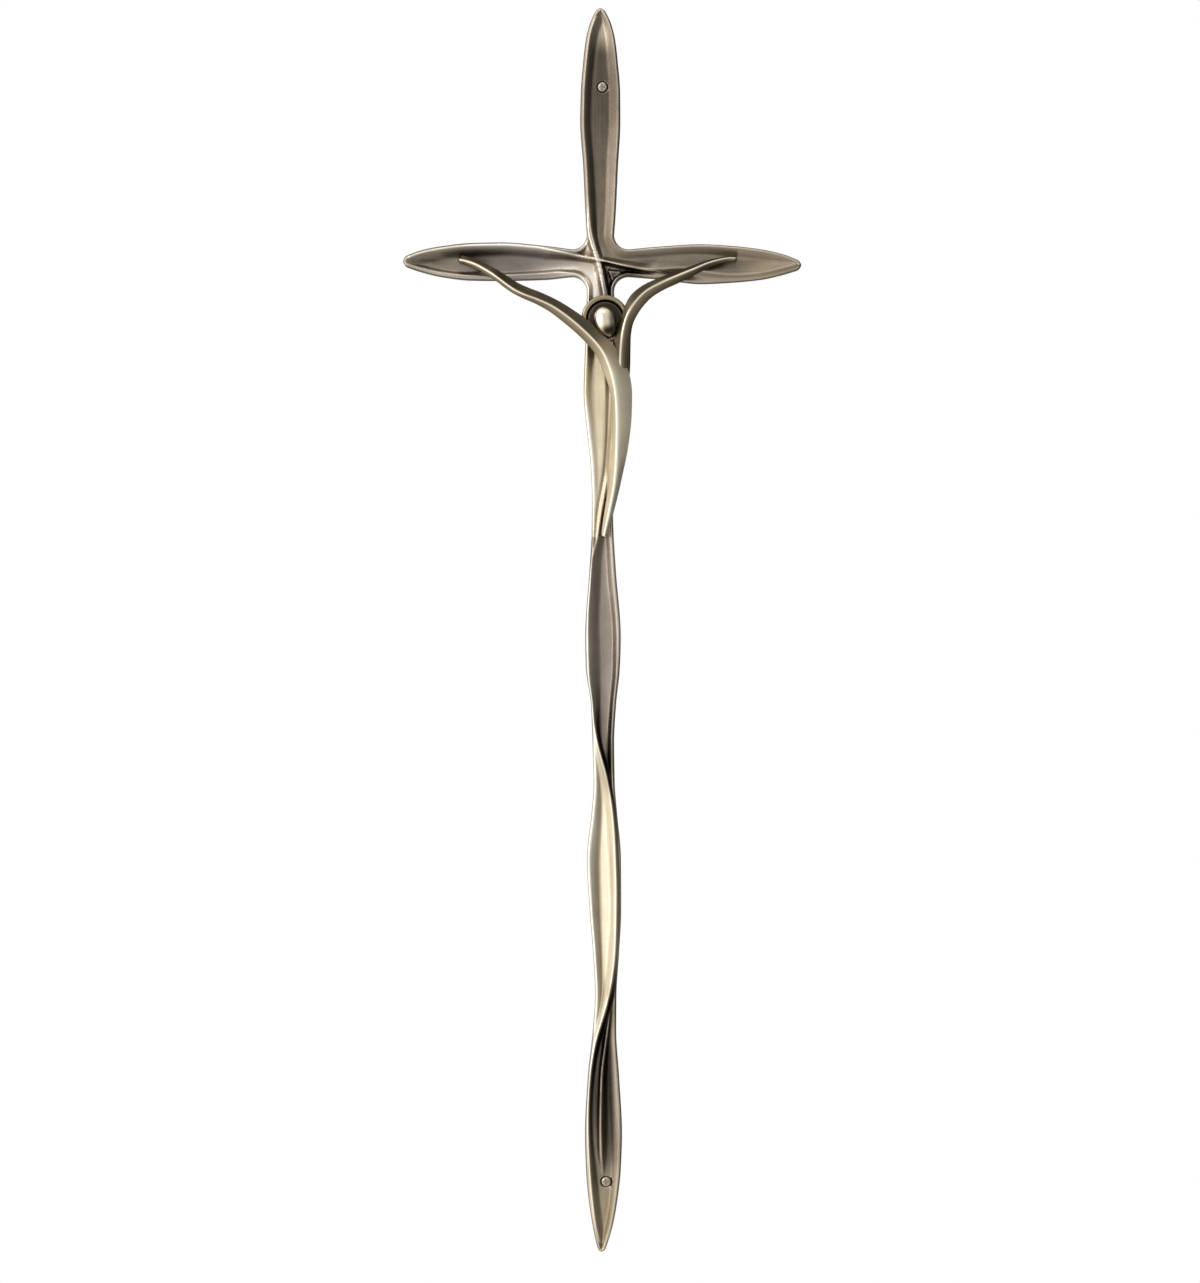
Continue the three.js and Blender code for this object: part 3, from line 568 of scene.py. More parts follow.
@dataclass(frozen=True)
class Outline:
    """The flat outline of the cross, limb by limb."""

    neck: float = 6.6
    fillet: float = 7.0
    splice: float = -132.6
    foot: float = -477.0
    top_tip: float = 123.0
    left_tip: float = -95.2
    right_tip: float = 96.9
    top_rows: tuple = (
        (0, -6.6, 6.6), (0.1, -7.3, 7.4), (0.31, -8.4, 8.5), (0.5, -9.8, 9.6), (0.63, -9.5, 9.5),
        (0.76, -8.4, 8.4), (0.86, -7.1, 7.1), (0.93, -5.2, 5.2), (0.975, -3.1, 3.0), (1, -1.5, 1.3),
    )
    left_rows: tuple = (
        (0, -6.6, 6.6), (0.17, -8.0, 8.4), (0.42, -8.5, 10.0), (0.6, -8.3, 9.7), (0.77, -6.7, 8.2),
        (0.88, -4.6, 6.5), (0.95, -2.8, 4.6), (0.985, -1.6, 3.4), (1, -0.6, 2.6),
    )
    right_rows: tuple = (
        (0, -6.6, 6.6), (0.18, -7.8, 8.0), (0.42, -10.0, 9.1), (0.6, -9.3, 8.3), (0.77, -7.9, 6.6),
        (0.88, -5.9, 4.6), (0.95, -4.2, 2.6), (0.985, -3.2, 1.3), (1, -2.4, 0.5),
    )
    chest_rows: tuple = (
        (0, -6.6, 6.6), (0.14, -6.9, 7.0), (0.27, -7.6, 7.6), (0.41, -8.1, 8.0), (0.56, -6.6, 7.2),
        (0.7, -4.8, 6.1), (0.84, -4.1, 5.9), (1, -4.3, 6.4),
    )
    shaft_rows: tuple = (
        (0, -4.3, 6.4), (0.048, -5.4, 7.5), (0.14, -7.4, 9.8), (0.18, -7.1, 9.4), (0.235, -4.6, 7.5),
        (0.285, -3.9, 6.6), (0.345, -3.3, 6.9), (0.385, -4.3, 8.0), (0.45, -6.5, 9.9), (0.52, -5.3, 10.0),
        (0.585, -3.5, 8.9), (0.64, -2.6, 7.7), (0.69, -3.7, 7.6), (0.755, -6.1, 9.0), (0.835, -7.5, 10.4),
        (0.885, -7.0, 9.8), (0.925, -5.8, 8.3), (0.96, -4.0, 6.2), (0.985, -2.3, 3.8), (1, -0.9, 2.0),
    )

    @property
    def seam(self) -> float:
        """Distance from the crossing where every limb begins."""
        return self.neck + self.fillet

    @property
    def top(self) -> Limb:
        """The top arm."""
        return Limb(self.seam, self.top_tip, self.top_rows)

    @property
    def left(self) -> Limb:
        """The left arm."""
        return Limb(-self.seam, self.left_tip, self.left_rows)

    @property
    def right(self) -> Limb:
        """The right arm."""
        return Limb(self.seam, self.right_tip, self.right_rows)

    @property
    def chest(self) -> Limb:
        """The shaft behind the figure, down to the splice."""
        return Limb(-self.seam, self.splice, self.chest_rows, 0.0)

    @property
    def shaft(self) -> Limb:
        """The lower casting."""
        return Limb(self.splice, self.foot, self.shaft_rows)

    def down(self, share: float) -> float:
        """Returns the height at a share of the way down the lower casting."""
        return self.splice + (self.foot - self.splice) * share

    def across(self, x: Array, z: Array, upright: bool) -> Array:
        """Returns how far across its limb each point lies, from the low edge (0) to the high edge (1)."""
        if upright:
            above = self.top.edges(np.maximum(z, self.seam))
            between = self.chest.edges(np.clip(z, self.splice, -self.seam))
            below = self.shaft.edges(np.minimum(z, self.splice))
            picks = [
                np.where(z > 0, a, np.where(z > self.splice, b, c)) for a, b, c in zip(above, between, below)
            ]
        else:
            left = self.left.edges(np.minimum(x, -self.seam))
            right = self.right.edges(np.maximum(x, self.seam))
            picks = [np.where(x < 0, a, b) for a, b in zip(left, right)]
        return ((x if upright else z) - picks[0]) / np.maximum(picks[1] - picks[0], 0.5)

    def corner(self, turn: Array) -> tuple[Array, Array]:
        """Returns the half width and height of an inner corner's arc, from the upright (0) to the arm."""
        return self.seam - self.fillet * np.cos(turn), self.seam - self.fillet * np.sin(turn)


@dataclass
class Relief:
    """Height of the castings' front above the back plane.

    The floor, the rim that follows the outline and the long ridges are joined by a smooth maximum,
    and everything rolls over to the side wall near the outline.
    """

    outline: Outline
    floor: float = 5.2
    edge: float = 4.4
    rim: float = 7.6
    ridge: float = 8.8
    roll: float = 0.95
    soften: float = 0.22
    rounding: float = 0.45
    dimple: float = 3.1
    pocket: float = 2.7
    wall: float = 2.0
    pad: float = 9.0
    solid: float = 12.0
    boss: float = 4.8
    # Painted shade along the outline's rolled edge, and more painted shade where the arms' edge faces up.
    painted_edge_shade: float = 0.18
    painted_upper_edge_shade: float = 0.2
    # shine and dulled: width of the rubbed bright and painted highlight along ridge edges, and how much of it
    # is taken away up the top arm and round the splice.
    shine: float = 0.5
    flat: float = 0.55
    dulled: float = 0.85
    wear_reach: float = 0.45
    wear_full: float = 0.16
    fixings: tuple = tuple(end.value for end in End)

    # Rim along each side: share of the way, inset of its crest, height, slope inwards, painted shade at its
    # foot.
    top_low: tuple = ((0, 1.2, 7.0, 1.4, 0), (0.3, 1.5, 6.8, 1.2, 0), (1, 1.1, 7.4, 1.0, 0))
    top_high: tuple = (
        (0, 0.9, 7.3, 0.62, 0), (0.3, 0.9, 7.2, 0.5, 0), (0.8, 0.9, 7.3, 0.6, 0), (1, 0.8, 7.2, 1.0, 0),
    )
    right_high: tuple = (
        (0, 0.9, 7.3, 0.6, 0), (0.5, 0.9, 7.2, 0.6, 0), (0.9, 1.1, 7.4, 0.8, 0), (1, 1.1, 7.4, 1.0, 0),
    )
    right_low: tuple = (
        (0, 1.2, 7.4, 1.5, 0.2), (0.1, 1.1, 6.9, 1.0, 0.05), (0.25, 0.9, 6.1, 0.2, 0), (1, 0.9, 6.4, 0.2, 0),
    )
    chest_high: tuple = ((0, 1.2, 7.4, 1.4, 0.3), (0.2, 1.0, 7.4, 1.0, 0.2), (1, 1.2, 7.6, 1.0, 0))
    shaft_high: tuple = (
        (0, 1.2, 7.6, 1.0, 0), (0.06, 1.4, 7.8, 1.0, 0), (0.14, 1.4, 7.8, 1.2, 0.05),
        (0.24, 1.0, 7.6, 1.3, 0.2), (0.3, 1.0, 7.4, 1.1, 0.1), (0.45, 1.0, 6.6, 0.4, 0),
        (0.62, 1.0, 6.8, 0.6, 0), (0.8, 1.2, 7.4, 0.7, 0), (1, 0.9, 7.4, 1.0, 0),
    )
    shaft_low: tuple = (
        (0, 1.1, 7.6, 0.9, 0), (0.1, 1.2, 6.9, 0.8, 0), (0.25, 1.1, 7.2, 0.7, 0), (0.4, 1.1, 7.7, 0.55, 0),
        (0.6, 1.0, 7.4, 0.8, 0), (0.75, 1.2, 6.9, 0.8, 0), (1, 0.9, 7.2, 1.0, 0),
    )
    chest_low: tuple = (
        (0, 0.9, 7.4, 1.5, 0), (0.2, 1.1, 6.5, 0.5, 0), (0.8, 1.2, 6.6, 0.5, 0), (1, 1.1, 7.2, 0.7, 0),
    )
    left_low: tuple = (
        (0, 1.3, 7.5, 1.2, 0), (0.1, 2.6, 7.3, 1.1, 0), (0.45, 2.0, 7.3, 1.1, 0), (1, 1.2, 7.4, 1.2, 0),
    )
    left_high: tuple = ((0, 1.4, 7.2, 1.2, 0.2), (0.3, 1.2, 6.8, 1.0, 0), (1, 1.2, 7.4, 1.0, 0))
    # Lean of the floor: along the upright a rise to the right, along the arms a rise upwards.
    upright_lean: tuple = (
        (-477, 0.1), (-440, -0.1), (-410, -0.28), (-380, -0.28), (-355, 0.1), (-330, 0.2), (-260, 0.2),
        (-240, 0.1), (-222, 0.0), (-180, 0.0), (-150, 0.04), (-131, 0.05), (-110, 0.08), (-40, 0.08),
        (-20, 0.02), (0, 0.0), (60, -0.06), (105, 0.0), (123, 0.06),
    )
    sideways_lean: tuple = (
        (-95, 0.0), (-70, -0.04), (-20, -0.06), (0, 0.0), (20, -0.05), (70, -0.06), (97, -0.1),
    )
    rim_path: Path = field(init=False)
    ridge_paths: list = field(init=False)

    def __post_init__(self) -> None:
        """Lays the outline and the ridges."""
        self.rim_path = Path(self._outline_rows())
        self.ridge_paths = [Path(rows) for rows in self._ridge_rows()]

    @staticmethod
    def _side(limb: Limb, at: Array, high: bool, rim: tuple, upright: bool) -> Array:
        """Returns one side of a limb as rows of [x, z, inset, height, slope, painted shade at the foot]."""
        edge = limb.edges(at)[1 if high else 0]
        share = limb.share(at)
        values = [curve_at(rim, column, share) for column in (1, 2, 3, 4)]
        place = [edge, at] if upright else [at, edge]
        return np.stack([*place, *values], axis=1)

    def _corner(self, across: float, up: float, before: tuple, after: tuple) -> Array:
        """Returns an inner corner as such rows, from the upright to the arm."""
        turn = np.linspace(0.0, math.pi / 2, CORNER_ROWS + 1)
        half, height = self.outline.corner(turn)
        share = (turn / turn[-1])[:, None]
        values = np.asarray(before[0][1:]) * (1 - share) + np.asarray(after[0][1:]) * share
        return np.column_stack([across * half, up * height, values])

    def _outline_rows(self) -> Array:
        """Returns the closed outline, clockwise from the top tip, with what its rim carries."""
        o = self.outline
        top, left, right = (limb.places(LIMB_STEP) for limb in (o.top, o.left, o.right))
        chest, shaft = o.chest.places(LIMB_STEP), o.shaft.places(LIMB_STEP)
        rows = [
            self._side(o.top, top, True, self.top_high, True)[::-1],
            self._corner(1, 1, self.top_high, self.right_high),
            self._side(o.right, right, True, self.right_high, False),
            self._side(o.right, right, False, self.right_low, False)[::-1],
            self._corner(1, -1, self.chest_high, self.right_low)[::-1],
            self._side(o.chest, chest, True, self.chest_high, True),
            self._side(o.shaft, shaft, True, self.shaft_high, True),
            self._side(o.shaft, shaft, False, self.shaft_low, True)[::-1],
            self._side(o.chest, chest, False, self.chest_low, True)[::-1],
            self._corner(-1, -1, self.chest_low, self.left_low),
            self._side(o.left, left, False, self.left_low, False),
            self._side(o.left, left, True, self.left_high, False)[::-1],
            self._corner(-1, 1, self.top_low, self.left_high)[::-1],
            self._side(o.top, top, False, self.top_low, True),
        ]
        return np.vstack(rows)

    def _ridge_rows(self) -> list[Array]:
        """Returns each ridge as rows of [x, z, height, slope and painted wall shade of its left, and of its
        right].
        """
        curved = (
            self._upright_ridge(), self._cross_ridge(), self._winding_ridge(), self._inner_ridge(),
            self._band_ridge(), self._facet_ridge(),
        )
        corners = ((4.4, -4.2), (6.3, -9.8), (9.2, -4.5), (4.4, -4.2))
        inlay = [[x, z, 6.4, 0.6, 0, 2.2, 0] for x, z in corners]
        return [spline(rows, 0.8) for rows in curved] + [np.asarray(inlay)]

    def _upright_ridge(self) -> list[list[float]]:
        """Returns the rows of the ridge from the top tip across the crossing and down the chest."""
        o, high = self.outline, self.ridge
        upright_at = np.linspace(o.top_tip - 5, o.seam + 13, 22)
        return [
            *([o.top.edges(z)[0] + 1.6, z, 8.1, 0.85, 0.06, 1.1, 0] for z in upright_at),
            [-5.4, 16.4, high, 1.3, 0.1, 1.5, 0], [-3.4, 8, high, 2.0, 0.1, 1.9, 0.05],
            [-1.2, 1.6, high, 2.3, 0.1, 2.2, 0.1], [0.6, -6, high, 2.6, 0.15, 2.0, 0.35],
            [2.3, -15, high, 2.6, 0.15, 1.9, 0.35], [2.8, -22, 7.6, 1.4, 0.1, 1.2, 0.1],
            [2.4, -34, 6.0, 0.6, 0, 0.4, 0], [2.2, -46, 5.9, 0.45, 0, 0.18, 0],
            [2.1, -60, 6.0, 0.4, 0, 0.15, 0],
            [2.0, -75, 6.0, 0.4, 0, 0.15, 0], [1.5, -88, 6.1, 0.4, 0, 0.16, 0],
            [0.4, -101, 6.2, 0.5, 0, 0.2, 0], [-1.2, -111, 6.3, 0.5, 0, 0.3, 0],
            [-2.8, -120, 6.4, 0.5, 0, 0.4, 0],
        ]

    def _cross_ridge(self) -> list[list[float]]:
        """Returns the rows of the ridge from the left tip across the crossing to the right tip."""
        o, high = self.outline, self.ridge
        left_at = np.linspace(o.left_tip + 3, -o.seam - 16, 18)
        right_at = np.linspace(o.seam + 16, o.right_tip - 3, 18)
        return [
            *([x, o.left.edges(x)[1] - 1.4, 8.0, 1.3, 0, 0.6, 0.12 * smooth_step(x, -90, -72)]
              for x in left_at),
            [-24.5, 6.2, 8.2, 1.4, 0, 0.7, 0.1], [-12, 3.6, high, 1.9, 0, 1.6, 0.2],
            [-1.2, 1.5, high, 2.3, 0.1, 2.2, 0.3], [5.3, 0.0, high, 1.8, 0.05, 2.6, 0.6],
            [11.7, -1.5, high - 0.2, 1.3, 0, 2.6, 0.4], [22.5, -3.2, 8.0, 0.9, 0, 2.2, 0.15],
            *([x, o.right.edges(x)[0] + 3.4 + 3.6 * math.exp(-((x - 42) / 14) ** 2), 7.0, 0.4, 0, 0.5, 0]
              for x in right_at),
        ]

    def _winding_ridge(self) -> list[list[float]]:
        """Returns the rows of the ridge that winds down the lower casting."""
        down, high = self.outline.down, self.ridge
        return [
            [5.0, -90, 5.4, 0.5, 0, 0.4, 0], [4.1, -98, 6.0, 0.6, 0, 0.5, 0],
            [3.0, -105, 6.4, 0.6, 0, 0.6, 0], [1.9, -112, 6.7, 0.6, 0, 0.6, 0],
            [0.4, -120, 6.9, 0.65, 0, 0.6, 0],
            [-0.6, -126, 7.2, 0.75, 0.04, 0.7, 0], [-1.5, -132.6, 7.5, 0.75, 0.04, 0.8, 0],
            [-2.9, -138, 7.8, 0.7, 0, 0.9, 0], [-4.3, -144, 8.1, 0.65, 0, 1.0, 0],
            [-5.4, down(0.07), 8.5, 0.65, 0.03, 1.2, 0], [-6.2, down(0.11), 8.5, 0.62, 0, 1.2, 0],
            [-5.9, down(0.18), 8.6, 0.62, 0, 1.2, 0], [-4.4, down(0.235), 8.7, 0.9, 0.05, 1.1, 0],
            [-1.7, down(0.285), high, 1.9, 0.45, 0.9, 0], [3.1, down(0.338), high, 2.2, 0.5, 0.75, 0],
            [5.9, down(0.39), high, 1.8, 0.3, 0.75, 0], [7.4, down(0.47), high, 1.6, 0.2, 0.7, 0],
            [7.4, down(0.54), high, 1.5, 0.2, 0.7, 0], [6.6, down(0.592), high, 1.4, 0.2, 0.8, 0],
            [4.2, down(0.638), high, 1.3, 0.35, 1.0, 0], [1.8, down(0.664), high, 1.5, 0.4, 1.2, 0],
            [-2.9, down(0.712), high, 1.6, 0.4, 1.2, 0], [-5.4, down(0.765), high, 1.5, 0.25, 1.2, 0],
            [-6, down(0.83), 8.5, 1.3, 0.2, 1.2, 0], [-4.7, down(0.905), 8.1, 0.9, 0.05, 1.2, 0],
            [-2.5, down(0.96), 7.6, 0.8, 0, 1.2, 0], [-0.6, down(0.985), 7.0, 0.8, 0, 1.2, 0],
        ]

    def _inner_ridge(self) -> list[list[float]]:
        """Returns the rows of the short ridge inside the lowest lobe."""
        down = self.outline.down
        return [
            [4.6, down(0.665), 6.4, 1.2, 0.2, 1.0, 0.1], [2.4, down(0.71), 7.4, 1.3, 0.2, 1.4, 0.2],
            [0.7, down(0.75), 7.6, 1.2, 0.15, 1.4, 0.25], [0.1, down(0.81), 7.6, 1.1, 0.1, 1.2, 0.2],
            [0.3, down(0.86), 7.2, 1.0, 0.05, 1.0, 0.1], [1.0, down(0.89), 5.6, 0.8, 0, 0.8, 0],
        ]

    def _band_ridge(self) -> list[list[float]]:
        """Returns the rows of the low band along the middle lobe."""
        down = self.outline.down
        return [
            [1.0, down(0.34), 5.6, 0.5, 0, 0.5, 0], [2.6, down(0.4), 6.6, 0.7, 0.05, 0.6, 0],
            [3.9, down(0.47), 6.8, 0.7, 0.1, 0.6, 0], [4.2, down(0.53), 6.7, 0.7, 0.1, 0.6, 0],
            [3.4, down(0.58), 6.5, 0.7, 0.05, 0.6, 0], [2.0, down(0.63), 5.8, 0.6, 0, 0.5, 0],
        ]

    @staticmethod
    def _facet_ridge() -> list[list[float]]:
        """Returns the rows of the facet in the pocket above and left of the crossing."""
        return [
            [-7.0, 12.0, 6.2, 1.5, 0, 0.7, 0], [-6.4, 9.0, 7.0, 1.6, 0.1, 0.8, 0],
            [-5.6, 6.4, 6.9, 1.6, 0.1, 0.8, 0], [-5.0, 4.6, 6.2, 1.5, 0, 0.7, 0],
        ]

    def height(self, x: Array, z: Array) -> Array:
        """Returns the front's height at points.

        Each ridge stands at height - slope * (sqrt(d^2 + r^2) - r), where d is the distance to it
        and r rounds its crest. The levels are joined by s * log(sum(exp(level / s))), and near the
        outline the height falls on a quarter circle to the side wall.

        Args:
            x: Points' x.
            z: Points' z.
        """
        gap, _, rim = self.rim_path.nearest(x, z)
        inward = np.maximum(gap - rim[:, 0], 0.0)
        levels = [self._floor(x, z), rim[:, 1] - rim[:, 2] * self._rounded(inward)]
        for path, flat in zip(self.ridge_paths, self.flats(x, z)):
            distance, side, carried = path.nearest(x, z)
            slope = np.where(side > 0, carried[:, 1], carried[:, 3])
            levels.append(carried[:, 0] - slope * self._rounded(np.maximum(distance - flat, 0.0)))
        stack = np.stack(levels) / self.soften
        top = stack.max(axis=0)
        inside = self.soften * (top + np.log(np.exp(stack - top).sum(axis=0)))
        for fixing in self.fixings:
            away = np.hypot(x - fixing[0], z - fixing[1])
            seat = 1.0 - smooth_step(away, 0.72 * self.dimple, self.dimple)
            inside += (np.minimum(inside, self.floor - 0.7) - inside) * seat
        share = np.minimum(gap / self.roll, 1.0)
        return self.edge + (inside - self.edge) * np.sqrt(1.0 - (1.0 - share) ** 2)

    def _floor(self, x: Array, z: Array) -> Array:
        """Returns the leaning floor: its mean height plus lean times the distance across the limb."""
        o = self.outline
        out = smooth_step(np.abs(x), o.neck, o.neck + 9) * (np.abs(z) < o.seam + 2)
        across = curve_at(self.upright_lean, 1, z) * (x - 1.0)
        up = curve_at(self.sideways_lean, 1, x) * z
        return self.floor + across * (1 - out) + up * out

    def _rounded(self, distance: Array) -> Array:
        """Returns a distance whose sharp start is rounded off."""
        return np.sqrt(distance**2 + self.rounding**2) - self.rounding

    def shadow(self, x: Array, z: Array) -> Array:
        """Returns how much painted shade darkens the tone on the walls of rims and ridges, and along the
        outline's edge, at points.

        Each wall's painted shade comes in just below the crest and leaves past the wall's foot.

        Args:
            x: Points' x.
            z: Points' z.
        """
        gap, _, rim = self.rim_path.nearest(x, z)
        walls = [(gap - rim[:, 0], rim[:, 1], rim[:, 2], rim[:, 3])]
        for path, flat in zip(self.ridge_paths, self.flats(x, z)):
            distance, side, carried = path.nearest(x, z)
            distance = np.maximum(distance - flat, 0.0)
            slope, dark = (np.where(side > 0, carried[:, k], carried[:, k + 2]) for k in (1, 2))
            walls.append((distance, carried[:, 0], slope, dark))
        # Painted shade along the outline's rolled edge, more of it where the arms' edge faces up.
        lit = smooth_step(np.abs(x), 8.0, 14.0) * (z > 0)
        total = (self.painted_edge_shade + self.painted_upper_edge_shade * lit) * (1 - smooth_step(gap, 0.2, 0.9))
        # Painted shade on each rim and ridge wall.
        for distance, top, slope, dark in walls:
            share = distance / np.maximum((top - self.floor) / np.maximum(slope, 0.1), 0.8)
            painted = smooth_step(share, 0.2, 0.5) * (1 - smooth_step(share, 0.8, 1.2))
            total = np.maximum(total, dark * painted)
        return total

    def flats(self, x: Array, z: Array) -> list[Array]:
        """Returns half the width of each ridge's flat top: the first ridge has one at the crossing."""
        near = 1 - smooth_step(np.hypot(x, z), 16.0, 28.0)
        return [self.flat * near * (number == 0) for number in range(len(self.ridge_paths))]

    def polish_and_highlight(self, x: Array, z: Array) -> Array:
        """Returns how near points lie to a ridge's edge, which is rubbed bright and carries a painted
        highlight.

        It is exp(-((d - flat) / shine)^2) times the ridge's rise to 1, less where the ridges are dull:
        up the top arm and round the splice.
        """
        total = np.zeros(x.size)
        for path, flat in zip(self.ridge_paths, self.flats(x, z)):
            distance, _, carried = path.nearest(x, z)
            rise = smooth_step(carried[:, 0], self.floor + 0.5, self.floor + 3.0)
            total = np.maximum(total, rise * np.exp(-(((distance - flat) / self.shine) ** 2)))
        top_arm = smooth_step(z, 18.0, 34.0)
        splice = smooth_step(z, -156.0, -142.0) * (1 - smooth_step(z, -112.0, -98.0))
        return total * (1 - self.dulled * (top_arm + splice))

    def wear(self, x: Array, z: Array, height: Array) -> Array:
        """Returns how proud (to 1) or hollow (to -1) the front is at points.

        It is the height less the mean height of four points around, over a fixed span.
        """
        reach = self.wear_reach
        moves = ((reach, 0), (-reach, 0), (0, reach), (0, -reach))
        around = [self.height(x + dx, z + dz) for dx, dz in moves]
        return np.clip((height - sum(around) / len(moves)) / self.wear_full, -1.0, 1.0)

    def hollow(self, x: Array, z: Array) -> Array:
        """Returns the depth of the pocket in the back at points.

        It is the full depth times a smooth step of the distance inside the wall, past the pad at
        the crossing, short of the tips and clear of the bosses.
        """
        gap = self.rim_path.nearest(x, z)[0]
        o = self.outline
        room = np.minimum(gap - self.wall, np.maximum(np.abs(x), np.abs(z)) - self.pad)
        tips = (x - o.left_tip, o.right_tip - x, o.top_tip - z, z - o.foot)
        for tip in tips:
            room = np.minimum(room, tip - self.solid)
        for fixing in self.fixings:
            room = np.minimum(room, np.hypot(x - fixing[0], z - fixing[1]) - self.boss)
        return self.pocket * smooth_step(room, 0.0, 0.7)


# ---- castings --------------------------------------------------------------------------------------

@dataclass
class PatinaAndPaintedLight:
    """How bright and how warm the castings are, from place to place: patina, with painted light, shade and
    reflections laid into the tone.

    A row holds the place along a limb, the tone at five shares across it from its low edge to its
    high edge, and how warm the metal is.
    """

    shares: tuple = (0.1, 0.3, 0.5, 0.7, 0.9)
    upright: tuple = (
        (-477, 0.45, 0.5, 0.5, 0.5, 0.45, 0.6), (-455, 0.55, 0.56, 0.54, 0.5, 0.5, 0.7),
        (-443, 0.5, 0.4, 0.46, 0.5, 0.52, 0.5), (-430, 0.5, 0.4, 0.32, 0.28, 0.42, 0.4),
        (-400, 0.5, 0.2, 0.2, 0.12, 0.5, 0.3), (-375, 0.66, 0.4, 0.03, 0.14, 0.5, 0.3),
        (-360, 0.92, 0.66, 0.7, 0.06, 0.34, 0.5), (-345, 0.9, 0.64, 0.75, 0.66, 0.55, 0.6),
        (-330, 0.95, 0.72, 0.78, 0.7, 0.7, 0.65), (-310, 0.95, 0.72, 0.8, 0.72, 0.75, 0.7),
        (-290, 0.95, 0.74, 0.8, 0.72, 0.75, 0.7), (-262, 0.95, 0.74, 0.78, 0.7, 0.6, 0.65),
        (-240, 0.92, 0.56, 0.42, 0.08, 0.26, 0.4), (-222, 0.7, 0.3, 0.42, 0.54, 0.36, 0.2),
        (-205, 0.6, 0.44, 0.48, 0.58, 0.44, 0.12), (-175, 0.62, 0.48, 0.5, 0.54, 0.6, 0.12),
        (-150, 0.54, 0.48, 0.5, 0.58, 0.6, 0.2), (-133.4, 0.4, 0.48, 0.5, 0.56, 0.6, 0.25),
        (-131.8, 0.64, 0.52, 0.5, 0.42, 0.5, 0.5), (-120, 0.84, 0.64, 0.5, 0.42, 0.42, 0.6),
        (-105, 0.95, 0.76, 0.66, 0.6, 0.5, 0.7), (-90, 0.95, 0.79, 0.74, 0.58, 0.5, 0.7),
        (-75, 0.9, 0.74, 0.72, 0.66, 0.55, 0.75),
        (-60, 0.7, 0.7, 0.74, 0.76, 0.6, 0.8), (-45, 0.68, 0.68, 0.64, 0.5, 0.4, 0.8),
        (-25, 0.6, 0.66, 0.5, 0.4, 0.4, 0.4), (-14, 0.88, 1.0, 0.64, 0.2, 0.35, 0.12),
        (-7, 0.95, 1.0, 0.64, 0.14, 0.3, 0.1), (0, 0.72, 0.68, 0.66, 0.36, 0.42, 0.3),
        (10, 0.64, 0.62, 0.36, 0.36, 0.34, 0.45), (22, 0.52, 0.34, 0.34, 0.34, 0.36, 0.45),
        (35, 0.42, 0.32, 0.34, 0.33, 0.34, 0.45), (55, 0.38, 0.3, 0.3, 0.29, 0.3, 0.4),
        (73, 0.38, 0.28, 0.26, 0.25, 0.27, 0.4), (100, 0.42, 0.34, 0.23, 0.28, 0.32, 0.4),
        (112, 0.48, 0.58, 0.62, 0.66, 0.45, 0.4), (123, 0.5, 0.6, 0.6, 0.6, 0.45, 0.35),
    )
    sideways: tuple = (
        (-95, 0.5, 0.5, 0.5, 0.5, 0.5, 0.3), (-80, 0.62, 0.44, 0.28, 0.46, 0.52, 0.35),
        (-70, 0.6, 0.46, 0.42, 0.26, 0.5, 0.25), (-60, 0.56, 0.42, 0.2, 0.26, 0.6, 0.1),
        (-50, 0.58, 0.42, 0.36, 0.32, 0.68, 0.0), (-40, 0.48, 0.4, 0.38, 0.42, 0.74, 0.0),
        (-25, 0.56, 0.7, 0.5, 0.44, 0.74, 0.08), (-14, 0.75, 0.95, 0.6, 0.42, 0.6, 0.15),
        (14, 0.16, 0.2, 0.4, 0.44, 0.48, 0.35), (25, 0.52, 0.38, 0.28, 0.42, 0.6, 0.35),
        (35, 0.5, 0.42, 0.3, 0.4, 0.58, 0.35), (45, 0.52, 0.48, 0.3, 0.4, 0.6, 0.35),
        (65, 0.5, 0.3, 0.3, 0.46, 0.58, 0.4), (75, 0.5, 0.4, 0.38, 0.44, 0.54, 0.6),
        (85, 0.48, 0.44, 0.44, 0.5, 0.54, 0.6), (97, 0.46, 0.46, 0.46, 0.5, 0.5, 0.5),
    )

    def at(self, rows: tuple, along: Array, across: Array) -> tuple[Array, Array]:
        """Returns tone and gold at places along a limb and shares across it.

        Each share's column has a smooth weight that falls from 1 to 0 at the neighbouring shares.
        """
        held = np.clip(across, self.shares[0], self.shares[-1])
        reach = self.shares[1] - self.shares[0]
        tone = np.zeros(along.size)
        for column, share in enumerate(self.shares, start=1):
            tone += curve_at(rows, column, along) * (1 - smooth_step(np.abs(held - share), 0.0, reach))
        return tone, curve_at(rows, len(self.shares) + 1, along)

    def floor(self, x: Array, z: Array, outline: Outline) -> tuple[Array, Array]:
        """Returns tone and gold at points, blending the arms' values into the upright's."""
        out = smooth_step(np.abs(x), outline.neck, outline.neck + 6) * (np.abs(z) < outline.seam + 2)
        upright = self.at(self.upright, z, outline.across(x, z, True))
        sideways = self.at(self.sideways, x, outline.across(x, z, False))
        return tuple(a * (1 - out) + b * out for a, b in zip(upright, sideways))


